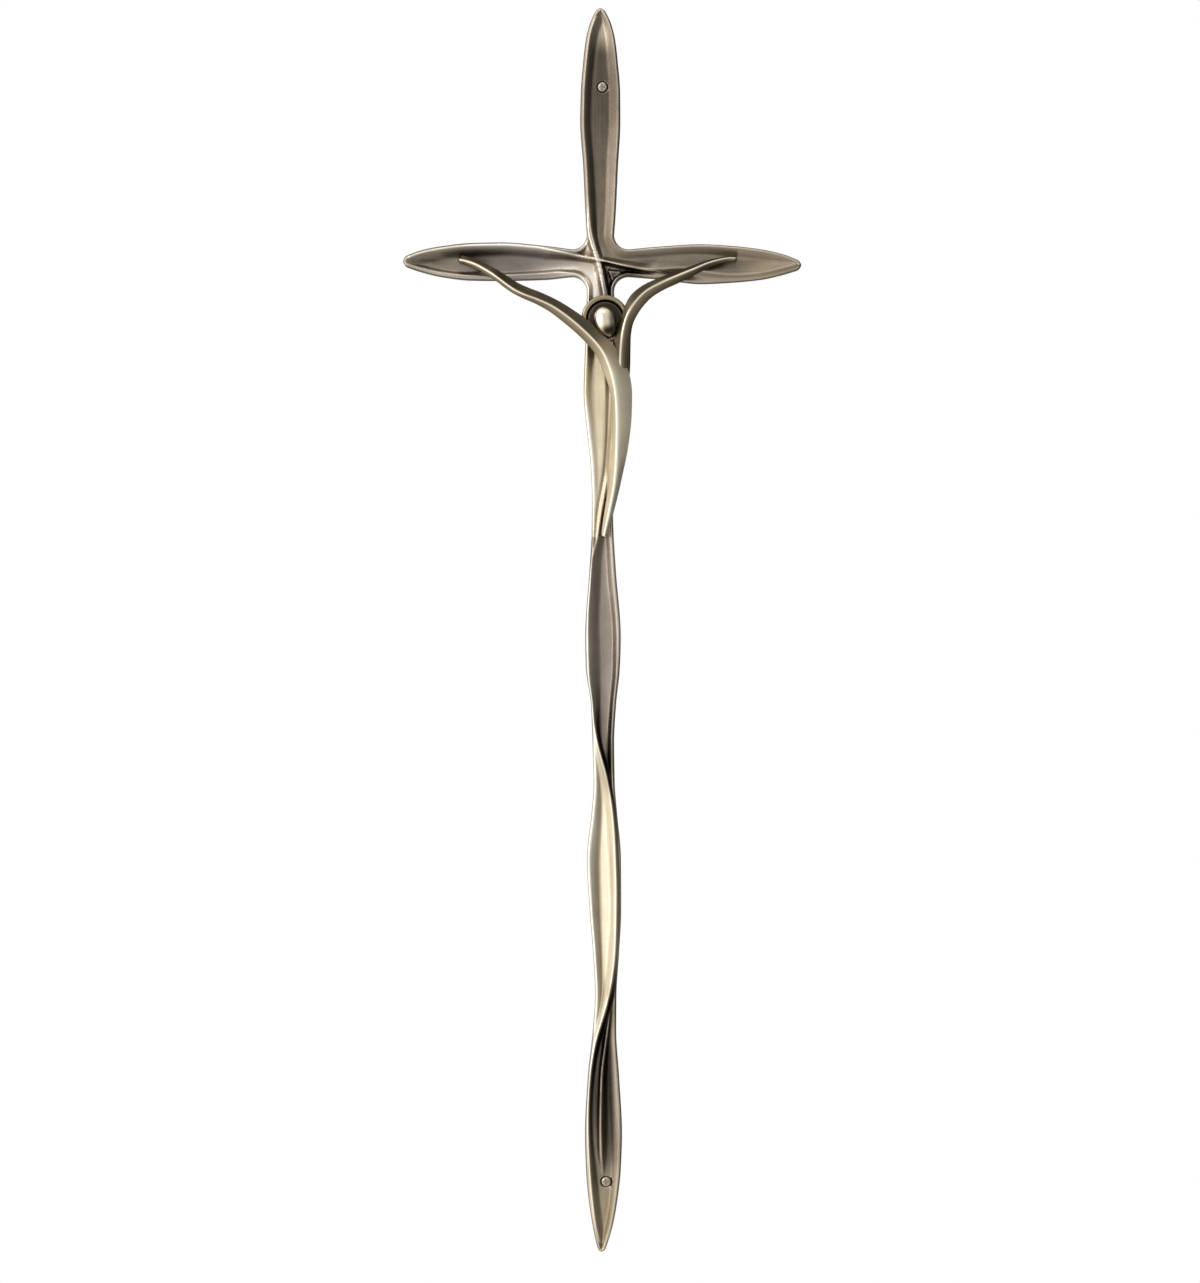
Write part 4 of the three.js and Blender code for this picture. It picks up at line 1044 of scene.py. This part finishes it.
@dataclass
class Casting:
    """Shared making of a casting's rings, faces and surface values."""

    relief: Relief
    patina_and_painted_light: PatinaAndPaintedLight
    rubbed: float = 0.2
    packed: float = 0.12
    # polished weighs the rubbed bright and painted highlight along ridge edges.
    polished: float = 0.26

    def front_fields(self, x: Array, z: Array, height: Array, upright: bool) -> dict[str, Array]:
        """Returns the surface values of points on the front."""
        wear = self.relief.wear(x, z, height)
        # The table's tone is patina with painted light, shade and reflections in it.
        tone, gold = self.patina_and_painted_light.floor(x, z, self.relief.outline)
        tone = tone + self.rubbed * np.maximum(wear, 0) - self.packed * np.maximum(-wear, 0)
        # Painted shade on walls and edges comes off, and the rubbed bright and painted highlight along ridge
        # edges goes on.
        tone = tone - self.relief.shadow(x, z) + self.polished * self.relief.polish_and_highlight(x, z)
        flow = np.stack([z, x, height] if upright else [x, z, height], axis=1)
        return {"tone": np.clip(tone, 0.02, 1), "gold": gold, "wear": wear, "flow": flow}

    @staticmethod
    def back_fields(x: Array, z: Array, depth: Array, upright: bool) -> dict[str, Array]:
        """Returns the surface values of points on the back, plain and darker in the pockets."""
        tone = 0.42 - 0.12 * smooth_step(depth, 0.2, 2.0)
        flow = np.stack([z, x, depth] if upright else [x, z, depth], axis=1)
        return {"tone": tone, "gold": np.full(x.size, 0.5), "wear": np.zeros(x.size), "flow": flow}

    @staticmethod
    def grid(along: Array, low: Array, high: Array, upright: bool, shares: Array) -> tuple[Array, Array]:
        """Returns x and z of points at shares across every ring, one ring after the other."""
        across = low[:, None] + (high - low)[:, None] * shares[None, :]
        place = np.broadcast_to(along[:, None], across.shape)
        x, z = (across, place) if upright else (place, across)
        return x.ravel(), z.ravel()

    def add_strip(self, body: Body, along: Array, low: Array, high: Array, upright: bool,
                  front: Array, back: Array) -> Array:
        """Adds rings round a limb: the front from low to high, then the back from high to low.

        Args:
            body: The mesh.
            along: Place of each ring along the limb.
            low: Low edge of each ring.
            high: High edge of each ring.
            upright: Whether the limb runs along z.
            front: Shares across the front.
            back: Shares across the back.

        Returns:
            Point numbers, one ring per row.
        """
        x, z = self.grid(along, low, high, upright, front)
        height = self.relief.height(x, z)
        shape = (len(along), -1, 3)
        near = body.add(
            np.stack([x, -height, z], axis=1).reshape(shape), **self.front_fields(x, z, height, upright)
        )
        x, z = self.grid(along, low, high, upright, back[::-1])
        depth = self.relief.hollow(x, z)
        far = body.add(
            np.stack([x, -depth, z], axis=1).reshape(shape), **self.back_fields(x, z, depth, upright)
        )
        return np.concatenate([near, far], axis=1)

    def cap(self, body: Body, ring: Array, flip: bool = False) -> None:
        """Closes a ring with a fan to its mean point."""
        body.cap(ring, np.vstack(body.points)[ring].mean(axis=0), (0.4, 0.5, 0.0), flip)


@dataclass
class UpperCross(Casting):
    """The upper casting: top arm, two side arms, crossing and the shaft behind the figure."""

    name: str = "upper_casting"
    replaced: str = "upper_cross"
    gap: float = 0.01

    def rows(self) -> tuple[Array, Array, Array]:
        """Returns every ring's height and edges, from the top tip down to the splice."""
        o = self.relief.outline
        turn = np.linspace(0.0, math.pi / 2, CORNER_ROWS + 1)[1:]
        half, height = o.corner(turn)
        middle = (o.neck * (2 * spread(ARM_COLUMNS, GATHER) - 1))[1:-1][::-1]
        top, chest = o.top.places(LIMB_STEP)[::-1], o.chest.places(LIMB_STEP)
        chest = np.append(chest[:-1], o.splice + self.gap)
        flat = np.full(len(middle), o.seam)
        edges = [
            o.top.edges(top), (-half, half), (-flat, flat), (-half[::-1], half[::-1]), o.chest.edges(chest)
        ]
        z = np.concatenate([top, height, middle, -height[::-1], chest])
        return z, np.concatenate([e[0] for e in edges]), np.concatenate([e[1] for e in edges])

    def build(self, finish: bpy.types.Material) -> bpy.types.Object:
        """Makes the casting as one closed skin.

        The upright is a stack of rings. Where the arms leave it, its rings stay open at the side
        and each arm's first ring uses their points.
        """
        body = Body(self.name)
        o = self.relief.outline
        z, low, high = self.rows()
        front, back = spread(FRONT_COLUMNS, GATHER), spread(BACK_COLUMNS, GATHER)
        upright = self.add_strip(body, z, low, high, True, front, back)
        inner = np.abs(z) <= o.neck + 1e-6
        cells = np.zeros((len(z) - 1, upright.shape[1]), dtype=bool)
        open_rows = inner[:-1] & inner[1:]
        cells[open_rows, FRONT_COLUMNS - 1] = True
        cells[open_rows, -1] = True
        body.skin(upright, flip=False, skip=cells)
        self.cap(body, upright[0], flip=False)
        self.cap(body, upright[-1], flip=True)
        side_rows = upright[inner][::-1]
        across = spread(ARM_COLUMNS, GATHER)
        for limb, near, far, flip in (
            (o.right, FRONT_COLUMNS - 1, FRONT_COLUMNS, False),
            (o.left, 0, -1, True),
        ):
            at = limb.places(LIMB_STEP)[1:]
            low, high = limb.edges(at)
            rings = self.add_strip(body, at, low, high, False, across, across)
            first = np.concatenate([side_rows[:, near], side_rows[::-1, far]])
            body.skin(np.vstack([first, rings]), flip=flip)
            self.cap(body, rings[-1], flip=not flip)
        return body.finished(finish, self.replaced)


@dataclass
class LowerShaft(Casting):
    """The lower casting: three twisted lobes down to the bottom tip."""

    name: str = "lower_casting"
    replaced: str = "lower_shaft"
    gap: float = 0.01

    def build(self, finish: bpy.types.Material) -> bpy.types.Object:
        """Makes the casting as one closed skin of rings."""
        body = Body(self.name)
        limb = self.relief.outline.shaft
        z = limb.places(LIMB_STEP)
        z[0] -= self.gap
        low, high = limb.edges(z)
        front, back = spread(FRONT_COLUMNS, GATHER), spread(BACK_COLUMNS, GATHER)
        rings = self.add_strip(body, z, low, high, True, front, back)
        body.skin(rings)
        self.cap(body, rings[0])
        self.cap(body, rings[-1], flip=True)
        return body.finished(finish, self.replaced)


# ---- figure, halo and head ---------------------------------------------------------------------------


@dataclass
class Figure:
    """The stylised figure: two roof-shaped ribbons that meet in a V below the head.

    Stations hold x, z, width on the left and on the right of the direction of travel (from the
    hand down), height of the crest and of the back, and how round each of the two faces is.
    """

    name: str = "figure"
    replaced: str = "corpus"
    rows_per_mm: float = 1.6
    face_points: int = 11
    edge_share: float = 0.62
    crest_round: float = 0.045
    # Width of the painted highlight along the crest.
    crest_highlight_width: float = 0.42
    face_gather: float = 1.3
    blunt: float = 0.8
    sharp: float = 55.0
    under_tone: float = 0.32
    # Painted highlight along the crest: how bright it is, and how much paler.
    crest_highlight_tone: float = 0.8
    gold: float = 0.8
    crest_highlight_gold: float = -0.45
    left_ribbon: tuple = (
        (-68.4, 1.6, 2.2, 1.3, 8.6, 5.5, 1.1, 1.2), (-64.7, 0.7, 2.3, 1.5, 9.4, 5.5, 1.1, 1.2),
        (-60.2, -0.9, 2.4, 1.7, 10.6, 6.6, 1.1, 1.2), (-54.9, -3.8, 2.7, 1.8, 12.0, 8.0, 1.1, 1.2),
        (-50.2, -6.9, 3.1, 1.8, 13.2, 8.9, 1.1, 1.2), (-45.0, -10.8, 3.5, 1.9, 14.1, 9.8, 1.1, 1.2),
        (-41.0, -13.5, 3.7, 1.9, 14.6, 10.2, 1.1, 1.2), (-36.4, -15.7, 3.8, 2.0, 15.1, 10.5, 1.1, 1.2),
        (-30.0, -18.1, 3.7, 2.4, 15.6, 11.0, 1.1, 1.2), (-23.0, -21.4, 3.7, 3.0, 16.1, 11.5, 1.1, 1.2),
        (-16.0, -26.2, 4.2, 3.4, 16.6, 12.1, 1.1, 1.25), (-9.2, -31.9, 4.8, 3.5, 17.3, 12.7, 1.15, 1.3),
        (-2.9, -38.2, 5.0, 3.5, 17.8, 12.8, 1.2, 1.3), (0.9, -43.1, 6.2, 3.5, 18.0, 12.5, 1.25, 1.25),
        (3.6, -48.8, 7.0, 3.5, 17.9, 10.4, 1.3, 1.2), (5.5, -54.6, 8.2, 3.3, 17.6, 8.1, 1.25, 1.15),
        (6.9, -61.2, 8.2, 2.6, 17.0, 8.05, 1.15, 1.1), (7.6, -68.2, 7.6, 2.3, 16.4, 8.05, 1.15, 1.1),
        (7.9, -76.2, 7.0, 2.3, 15.7, 8.05, 1.15, 1.1), (7.9, -83.6, 6.2, 2.3, 15.1, 8.05, 1.15, 1.1),
        (7.7, -92.5, 5.0, 2.5, 14.4, 8.05, 1.15, 1.1), (7.2, -100.4, 3.8, 2.6, 13.6, 8.05, 1.5, 1.1),
        (6.3, -108.7, 2.9, 2.5, 12.8, 8.05, 1.5, 1.1), (4.9, -116.4, 2.4, 2.4, 12.0, 8.05, 1.5, 1.15),
        (3.5, -123.6, 1.9, 2.1, 11.3, 8.05, 1.5, 1.2), (2.3, -129.2, 1.4, 1.7, 10.6, 8.05, 1.4, 1.3),
        (1.7, -132.2, 1.2, 1.3, 10.1, 8.05, 1.4, 1.4),
    )
    right_ribbon: tuple = (
        (65.9, 2.3, 1.5, 0.9, 8.6, 5.5, 1.3, 1.2), (61.0, 2.2, 1.7, 0.9, 9.4, 5.5, 1.3, 1.2),
        (52.5, 0.0, 2.2, 1.3, 11.2, 6.6, 1.3, 1.2), (44.5, -3.4, 2.9, 1.8, 13.2, 8.2, 1.3, 1.2),
        (36.4, -6.8, 3.5, 2.2, 14.7, 9.8, 1.3, 1.2), (28.5, -10.3, 3.7, 2.6, 15.6, 11.2, 1.3, 1.2),
        (22.0, -13.9, 4.2, 3.1, 16.0, 12.0, 1.3, 1.2), (17.4, -18.3, 4.4, 3.6, 16.4, 12.6, 1.3, 1.2),
        (14.1, -23.2, 4.3, 3.0, 16.7, 12.8, 1.3, 1.2), (11.9, -28.2, 4.1, 2.2, 16.9, 12.8, 1.3, 1.2),
        (10.6, -33.9, 4.2, 2.7, 17.0, 12.4, 1.35, 1.2), (9.8, -40.0, 4.7, 3.9, 16.8, 11.0, 1.4, 1.2),
        (9.4, -46.0, 5.0, 4.0, 16.3, 9.8, 1.5, 1.2), (9.4, -51.0, 4.9, 3.4, 15.6, 9.0, 1.6, 1.2),
        (9.9, -58.0, 4.0, 1.2, 13.4, 8.6, 1.6, 1.2),
    )

    def section(self) -> tuple[Array, Array, Array]:
        """Returns the ring in shares: across (-1 to 1), down from crest to edge, and edge to back."""
        t = np.linspace(-1.0, 1.0, 2 * self.face_points + 1)
        face = np.sign(t) * np.abs(t) ** self.face_gather
        across = np.concatenate([face, [0.99, 0.93, 0.8, 0.4, 0.0, -0.4, -0.8, -0.93, -0.99]])
        down = np.concatenate([np.abs(face), np.ones(9)])
        under = np.concatenate([np.zeros(len(face)), [0.35, 0.75, 1, 1, 1, 1, 1, 0.75, 0.35]])
        return across, down, under

    def ribbon(self, body: Body, stations: tuple, left_arm: bool) -> None:
        """Adds one ribbon as a closed skin.

        The stations are joined by a smooth curve. At each place along it the ring lies square to
        the path: the crest is rounded, each face falls as share ** roundness, and the section
        shrinks on a quarter circle over the last stretch to a blunt end.

        Args:
            body: The mesh.
            stations: The ribbon's stations.
            left_arm: Whether the face on the left of travel is the upper one.
        """
        dense = spline(stations, 1 / self.rows_per_mm)
        step = np.linalg.norm(np.diff(dense[:, :2], axis=0), axis=1)
        at = np.concatenate([[0.0], np.cumsum(step)])
        blunt = self.blunt
        ends = blunt * np.array([0.0, 0.03, 0.12, 0.3, 0.6])
        at_new = np.concatenate([ends, at[(at > blunt) & (at < at[-1] - blunt)], at[-1] - ends[::-1]])
        rows = np.stack([np.interp(at_new, at, dense[:, k]) for k in range(dense.shape[1])], axis=1)
        direction = np.gradient(rows[:, :2], at_new, axis=0)
        direction /= np.linalg.norm(direction, axis=1)[:, None]
        across, down, under = self.section()
        side = np.where(across >= 0, rows[:, 2:3], rows[:, 3:4])
        roundness = np.where(across >= 0, rows[:, 6:7], rows[:, 7:8])
        near = np.minimum(at_new, at_new[-1] - at_new) / blunt
        size = np.sqrt(np.clip(1 - np.clip(1 - near, 0, 1) ** 2, 0.0, 1.0))[:, None] * 0.92 + 0.08
        size = np.where(near[:, None] >= 1, 1.0, size)
        crest, back = rows[:, 4:5], rows[:, 5:6]
        edge = back + self.edge_share * (crest - back)
        soft = self.crest_round
        fall = (np.sqrt(down**2 + soft**2) - soft) / (math.sqrt(1 + soft**2) - soft)
        height = crest - (crest - edge) * fall**roundness - (edge - back) * under
        middle = (crest + back) / 2
        height = middle + (height - middle) * size
        offset = across * side * size
        x = rows[:, 0:1] - direction[:, 1:2] * offset
        z = rows[:, 1:2] + direction[:, 0:1] * offset
        along = np.broadcast_to(at_new[:, None], x.shape)
        upper = (across >= 0) if left_arm else (across < 0)
        # Painted highlight along the crest.
        high = np.exp(-((across * side / self.crest_highlight_width) ** 2)) * (under == 0)
        share = np.abs(across)
        arm = 1 - smooth_step(along, 70.0, 100.0) if left_arm else np.ones(x.shape)
        near_body = smooth_step(along, 20.0, 75.0)
        # Painted light and shade on the faces: an arm's upper face dark, its lower face lighter, and the
        # body's right face bright with its left face darker.
        shaded_upper_tone = 0.03 + 0.1 * near_body + 0.04 * share
        lit_lower_tone = 0.4 - 0.16 * share
        lit_and_shaded_body_tone = np.where(upper, 0.86 - 0.06 * share, 0.56)
        tone = np.where(upper, shaded_upper_tone, lit_lower_tone) * arm + lit_and_shaded_body_tone * (1 - arm)
        tone = np.where(under > 0, self.under_tone, tone) + self.crest_highlight_tone * high
        flow = np.stack([along, across * side, height], axis=2)
        gold = self.gold + self.crest_highlight_gold * high
        fields = {"tone": np.clip(tone, 0.02, 1), "gold": gold, "wear": high, "flow": flow}
        rings = body.add(np.stack([x, -height, z], axis=2), **fields)
        body.skin(rings, flip=True)
        for ring, flip in ((rings[0], True), (rings[-1], False)):
            body.cap(ring, np.vstack(body.points)[ring].mean(axis=0), (0.5, 0.6, 0.0), flip)

    def build(self, finish: bpy.types.Material) -> bpy.types.Object:
        """Makes the figure out of its two ribbons."""
        body = Body(self.name)
        self.ribbon(body, self.left_ribbon, True)
        self.ribbon(body, self.right_ribbon, False)
        return body.finished(finish, self.replaced, self.sharp)


def turned(body: Body, profile: Rows, centre: tuple[float, float], sides: int, wear: float = 0.0) -> None:
    """Adds a closed solid of revolution about an axis along Y.

    Each row of the profile becomes a circle, and the first and the last row lie on the axis.

    Args:
        body: The mesh.
        profile: Rows of [radius, height, tone, gold], from the back round to the front.
        centre: The axis, as x and z.
        sides: Points in a circle.
        wear: Surface value for the whole piece.
    """
    rows = np.asarray(profile, dtype=float)
    turn = np.linspace(0.0, 2 * math.pi, sides, endpoint=False)
    radius, height = rows[1:-1, 0:1], rows[1:-1, 1:2] + 0 * turn
    x, z = centre[0] + radius * np.cos(turn), centre[1] + radius * np.sin(turn)
    flow = np.stack([radius * turn, radius + height, height], axis=2)
    fields = {"tone": rows[1:-1, 2:3] + 0 * turn, "gold": rows[1:-1, 3:4] + 0 * turn}
    rings = body.add(np.stack([x, -height, z], axis=2), flow=flow, wear=np.full(x.shape, wear), **fields)
    body.skin(rings, flip=True)
    for row, ring, flip in ((rows[0], rings[0], True), (rows[-1], rings[-1], False)):
        body.cap(ring, (centre[0], -row[1], centre[1]), (row[2], row[3], wear), flip)


@dataclass
class Halo:
    """The round cup behind the head, with a rolled rim and a blackened recess."""

    name: str = "halo"
    replaced: str = "halo_cup"
    centre: tuple = (2.2, -27.2)
    radius: float = 11.4
    rim: float = 2.4
    front: float = 12.4
    seat: float = 9.4
    back: float = 8.05
    sides: int = 144

    def profile(self) -> list[list[float]]:
        """Returns the section: a flat back, a side wall, a half-round rim, a cove and the floor."""
        turn = np.linspace(0.0, math.pi, 15)
        middle, half = self.radius - self.rim / 2, self.rim / 2
        roll = [
            [middle + half * math.cos(t), self.front - 0.8 + 0.8 * math.sin(t), 0.3 + 0.16 * math.sin(t), 0.7]
            for t in turn
        ]
        inner = self.radius - self.rim
        cove = [
            [inner - 0.1, self.front - 1.3, 0.2, 0.3], [inner - 0.35, self.seat + 0.9, 0.08, 0.3],
            [inner - 0.8, self.seat + 0.35, 0.08, 0.3], [inner - 1.3, self.seat + 0.3, 0.26, 0.4],
            [inner - 1.7, self.seat + 0.1, 0.08, 0.3], [inner - 2.6, self.seat, 0.06, 0.3],
        ]
        low = [[0, self.back, 0.3, 0.4], [self.radius - 0.9, self.back, 0.3, 0.4]]
        wall = [[self.radius - 0.1, self.back + 0.7, 0.3, 0.5], [self.radius, self.back + 1.2, 0.35, 0.5]]
        return [*low, *wall, *roll, *cove, [0, self.seat, 0.05, 0.3]]

    def build(self, finish: bpy.types.Material) -> bpy.types.Object:
        """Makes the cup."""
        body = Body(self.name)
        turned(body, self.profile(), self.centre, self.sides)
        return body.finished(finish, self.replaced)


@dataclass
class Head:
    """The plain polished egg that stands for the head, narrow end down and leaning."""

    name: str = "head_egg"
    replaced: str = "head"
    centre: tuple = (2.5, -29.2)
    width: float = 10.4
    length: float = 15.8
    depth: float = 10.0
    tilt: float = 0.3
    taper: float = 0.16
    # Strength of the painted dark reflection on the lower front.
    dark_reflection: float = 1.1
    back: float = 9.2
    rows: int = 40
    sides: int = 72

    def build(self, finish: bpy.types.Material) -> bpy.types.Object:
        """Makes the egg.

        A ring at angle t from the chin has radius sin t * (1 - taper * cos t), and all rings lie
        on a line that leans by the tilt.
        """
        body = Body(self.name)
        t = np.linspace(0.0, math.pi, self.rows + 2)[1:-1, None]
        turn = np.linspace(0.0, 2 * math.pi, self.sides, endpoint=False)[None, :]
        radius = np.sin(t) * (1 - self.taper * np.cos(t))
        across = self.width / 2 * radius * np.cos(turn)
        outward = self.depth / 2 * radius * np.sin(turn)
        up = -self.length / 2 * np.cos(t) + 0 * turn
        points = self.placed(across, outward, up)
        flow = np.stack([up, self.width / 2 * turn + 0 * up, outward], axis=2)
        # Painted light and a painted reflection: the top lighter, the right side darker, and a dark patch on
        # the lower front that stands for a dark reflection.
        facing = np.maximum(np.sin(turn), 0.0) * np.sin(t)
        tone = 0.84 + 0.2 * up / self.length - 0.14 * np.cos(turn) * np.sin(t)
        tone = tone - self.dark_reflection * facing**2 * smooth_step(-up / self.length, 0.02, 0.3)
        shade = {"tone": tone, "gold": np.full(up.shape, 0.7), "wear": np.full(up.shape, 0.4)}
        rings = body.add(points, flow=flow, **shade)
        body.skin(rings, flip=True)
        for sign, ring, flip in ((-1, rings[0], True), (1, rings[-1], False)):
            tip = self.placed(np.zeros((1, 1)), np.zeros((1, 1)), np.full((1, 1), sign * self.length / 2))
            body.cap(ring, tip[0, 0], (0.8, 0.7, 0.4), flip)
        return body.finished(finish, self.replaced)

    def placed(self, across: Array, outward: Array, up: Array) -> Array:
        """Returns points of the upright egg turned by the tilt and set in the halo."""
        cosine, sine = math.cos(self.tilt), math.sin(self.tilt)
        x = self.centre[0] + across * cosine - up * sine
        z = self.centre[1] + across * sine + up * cosine
        return np.stack([x, -(self.back + self.depth / 2) - outward, z], axis=2)


@dataclass
class FixingScrew:
    """A long screw with a countersunk, domed head and a small cross recess."""

    end: End
    shank: float = 1.45
    head: float = 2.2
    seat: float = 5.5
    dome: float = 0.9
    recess: float = 0.16
    reach: float = 20.0
    thread: float = 0.7
    rings: int = 22
    sides: int = 72

    @property
    def name(self) -> str:
        """The piece's name."""
        return f"{self.end.name.lower()}_screw"

    def build(self, finish: bpy.types.Material) -> bpy.types.Object:
        """Makes the screw.

        The shank's radius swings with a triangle wave for the thread. The head is a grid of circles
        whose height is a dome less the recess, a cross with soft sides.
        """
        body = Body(self.name)
        x0, z0 = self.end.value
        turn = np.linspace(0.0, 2 * math.pi, self.sides, endpoint=False)[None, :]
        stem = np.linspace(-self.reach + 3, self.seat - 3.2, 90)[:, None]
        wave = np.abs(((stem / self.thread - turn / (2 * math.pi)) % 1.0) * 2 - 1)
        threaded = np.minimum(1.0, (stem + self.reach - 3) / 1.5) * (stem < 0)
        stem_radius = self.shank - 0.32 * wave * threaded
        point = np.array([[0.15, -self.reach], [0.9, -self.reach + 1.7]])
        cone = np.array([[self.shank, self.seat - 0.9], [self.head, self.seat]])
        share = np.linspace(1.0, 0.06, self.rings)[:, None]
        bulge = self.seat + self.dome * np.sqrt(1 - (0.94 * share) ** 2) - self.dome * math.sqrt(1 - 0.94**2)
        cx, cz = self.head * share * np.cos(turn), self.head * share * np.sin(turn)
        arm = 0.62 * self.head
        width = 0.17 * self.head
        slots = [
            (1 - smooth_step(np.abs(across), width, width + 0.14))
            * (1 - smooth_step(np.abs(along), arm, arm + 0.2))
            for across, along in ((cx, cz), (cz, cx))
        ]
        cut = np.maximum(*slots)
        level = 0 * turn
        dome_radius, dome_height = self.head * share + level, bulge - self.recess * cut
        radius = np.vstack([point[:, :1] + level, stem_radius, cone[:, :1] + level, dome_radius])
        height = np.vstack([point[:, 1:] + level, stem + level, cone[:, 1:] + level, dome_height])
        plain = len(radius) - self.rings
        tone = np.vstack([np.full((plain, self.sides), 0.5), 0.6 - self.recess * cut])
        flow = np.stack([height, radius * turn, radius], axis=2)
        points = np.stack([x0 + radius * np.cos(turn), -height, z0 + radius * np.sin(turn)], axis=2)
        rings = body.add(points, flow=flow, tone=tone, gold=np.full(tone.shape, 0.35), wear=0 * tone)
        body.skin(rings, flip=True)
        for ring, top, flip in ((rings[0], -self.reach, True), (rings[-1], float(height[-1].min()), False)):
            body.cap(ring, (x0, -top, z0), (0.2, 0.35, 0.0), flip)
        return body.finished(finish, f"{self.end.name.lower()}_fixing_screw")


@dataclass
class RearHardware:
    """The splice plate and the screws behind, which keep their CAD shape."""

    nodes: tuple = (
        "splice_plate", "splice_screw_1", "splice_screw_2", "splice_screw_3", "splice_screw_4",
        "left_hand_screw", "right_hand_screw", "chest_screw", "head_screw",
    )

    def dress(self, frame: dict[str, Any], finish: bpy.types.Material) -> None:
        """Gives every CAD node its finish."""
        for name in self.nodes:
            node = frame["nodes"][name]
            node.data.materials.clear()
            node.data.materials.append(finish)
            LOG.info("dressed %s", name)


# ---- studio ------------------------------------------------------------------------------------------


@dataclass
class Studio:
    """White surroundings, soft lights, a pale floor below and a long lens straight in front."""

    aim: tuple = (-0.24, -182.6)
    view_height: float = 618.8
    distance: float = 3000.0
    floor_drop: float = -560.0
    floor_radius: float = 300.0

    def build(self) -> None:
        """Makes the camera, the surroundings, the lights and the floor."""
        bpy.context.scene.view_settings.view_transform = "Standard"
        self.camera()
        self.world()
        self.light("key", (-1.25, -1.55, 0.55), 0.8, 7.0)
        self.light("top", (-0.1, -0.8, 1.6), 0.7, 2.5)
        self.floor()

    def camera(self) -> None:
        """Makes a straight-on camera with a long lens."""
        data = bpy.data.cameras.new("camera")
        data.sensor_fit = "VERTICAL"
        data.sensor_height = 24.0
        plane = 6.0
        data.lens = data.sensor_height * (self.distance - plane) / self.view_height
        data.clip_end = 20.0
        made = bpy.data.objects.new("camera", data)
        made.location = (self.aim[0] * MM, -self.distance * MM, self.aim[1] * MM)
        made.rotation_euler = (math.pi / 2, 0.0, 0.0)
        bpy.context.scene.collection.objects.link(made)
        bpy.context.scene.camera = made

    def world(self) -> None:
        """Makes surroundings that are white to look at, and light the metal as a studio would.

        The light is bright on the left, softer above and in front, and falls away to the right
        and below. It depends on the direction in the room alone.
        """
        world = bpy.data.worlds.new("studio")
        bpy.context.scene.world = world
        world.use_nodes = True
        graph = Graph(world.node_tree)
        x, y, z = graph.parts(graph.node("ShaderNodeTexCoord", {}, (), "Generated"))
        left = (-x).step(0.2, 0.7)
        right = x.step(0.4, 0.95)
        above = z.step(0.3, 0.8)
        below = (-z).step(0.3, 0.9)
        behind = y.step(0.1, 0.7)
        level = 0.9 + left * 0.8 + above * 0.1 - right * 0.68 - below * 0.45
        level = (level * (1.0 - behind * 0.45)).math("MAXIMUM", 0.12)
        seen = graph.node("ShaderNodeLightPath", {}, (), "Is Camera Ray")
        lit = graph.node("ShaderNodeBackground", {}, [(1.0, 0.99, 0.975, 1.0), level])
        white = graph.node("ShaderNodeBackground", {}, [(1.0, 1.0, 1.0, 1.0), 1.0])
        surface = graph.node("ShaderNodeMixShader", {}, [seen, lit, white])
        graph.node("ShaderNodeOutputWorld", {}, [surface])

    def light(self, name: str, place: tuple[float, float, float], size: float, power: float) -> None:
        """Adds one soft square light that points at the crossing."""
        data = bpy.data.lights.new(name, "AREA")
        data.size = size
        data.energy = power
        made = bpy.data.objects.new(name, data)
        made.location = place
        towards = np.array(place) - np.array((0.0, 0.0, self.aim[1] * MM))
        yaw = math.atan2(towards[1], towards[0]) + math.pi / 2
        pitch = math.atan2(math.hypot(towards[0], towards[1]), towards[2])
        made.rotation_euler = (pitch, 0.0, yaw)
        bpy.context.scene.collection.objects.link(made)

    def floor(self) -> None:
        """Makes a round pale floor below the tip, out of the straight-on view."""
        turn = np.linspace(0.0, 2 * math.pi, 96, endpoint=False)
        ring = np.stack([np.cos(turn), np.sin(turn), 0 * turn], axis=1) * self.floor_radius
        ring[:, 2] = self.floor_drop
        mesh = bpy.data.meshes.new("floor")
        mesh.from_pydata((ring * MM).tolist(), [], [list(range(len(ring)))])
        made = bpy.data.objects.new("floor", mesh)
        bpy.context.scene.collection.objects.link(made)
        material = bpy.data.materials.new("pale_floor")
        material.use_nodes = True
        graph = Graph(material.node_tree)
        place = graph.node("ShaderNodeTexCoord", {}, (), "Object")
        cloud = graph.noise(place, 6.0, 3.0)
        colour = graph.blend(cloud, (0.78, 0.78, 0.77, 1.0), (0.84, 0.84, 0.83, 1.0))
        inputs = {"Base Color": colour, "Roughness": 0.7}
        graph.node("ShaderNodeOutputMaterial", {}, [graph.node("ShaderNodeBsdfPrincipled", {}, inputs)])
        made.data.materials.append(material)


def main() -> None:
    """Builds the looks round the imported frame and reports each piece."""
    logging.basicConfig(level=logging.INFO, format="%(name)s: %(message)s")
    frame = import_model()
    antique = Antiqued("antique_brass").build()
    polished = Antiqued("polished_brass", rough=0.22, brushed=0.02, streak=0.05).build()
    dark = Antiqued("dark_brass", rough=0.3, brushed=0.02, streak=0.04).build()
    screw = Antiqued("fixing_brass", rough=0.26, brushed=0.01, streak=0.04).build()
    relief, patina_and_painted_light = Relief(Outline()), PatinaAndPaintedLight()
    made = [
        (UpperCross(relief, patina_and_painted_light).build(antique), "antique_brass"),
        (LowerShaft(relief, patina_and_painted_light).build(antique), "antique_brass"),
        (Figure().build(polished), "polished_brass"),
        (Head().build(polished), "polished_brass"),
        (Halo().build(dark), "dark_brass"),
        *((FixingScrew(end).build(screw), "fixing_brass") for end in End),
    ]
    for piece, slot in made:
        LOG.info("%s: %d faces, %s", piece.name, len(piece.data.polygons), slot)
    RearHardware().dress(frame, Plated("plated_steel").build())
    Studio().build()


if __name__ == "__main__":
    main()
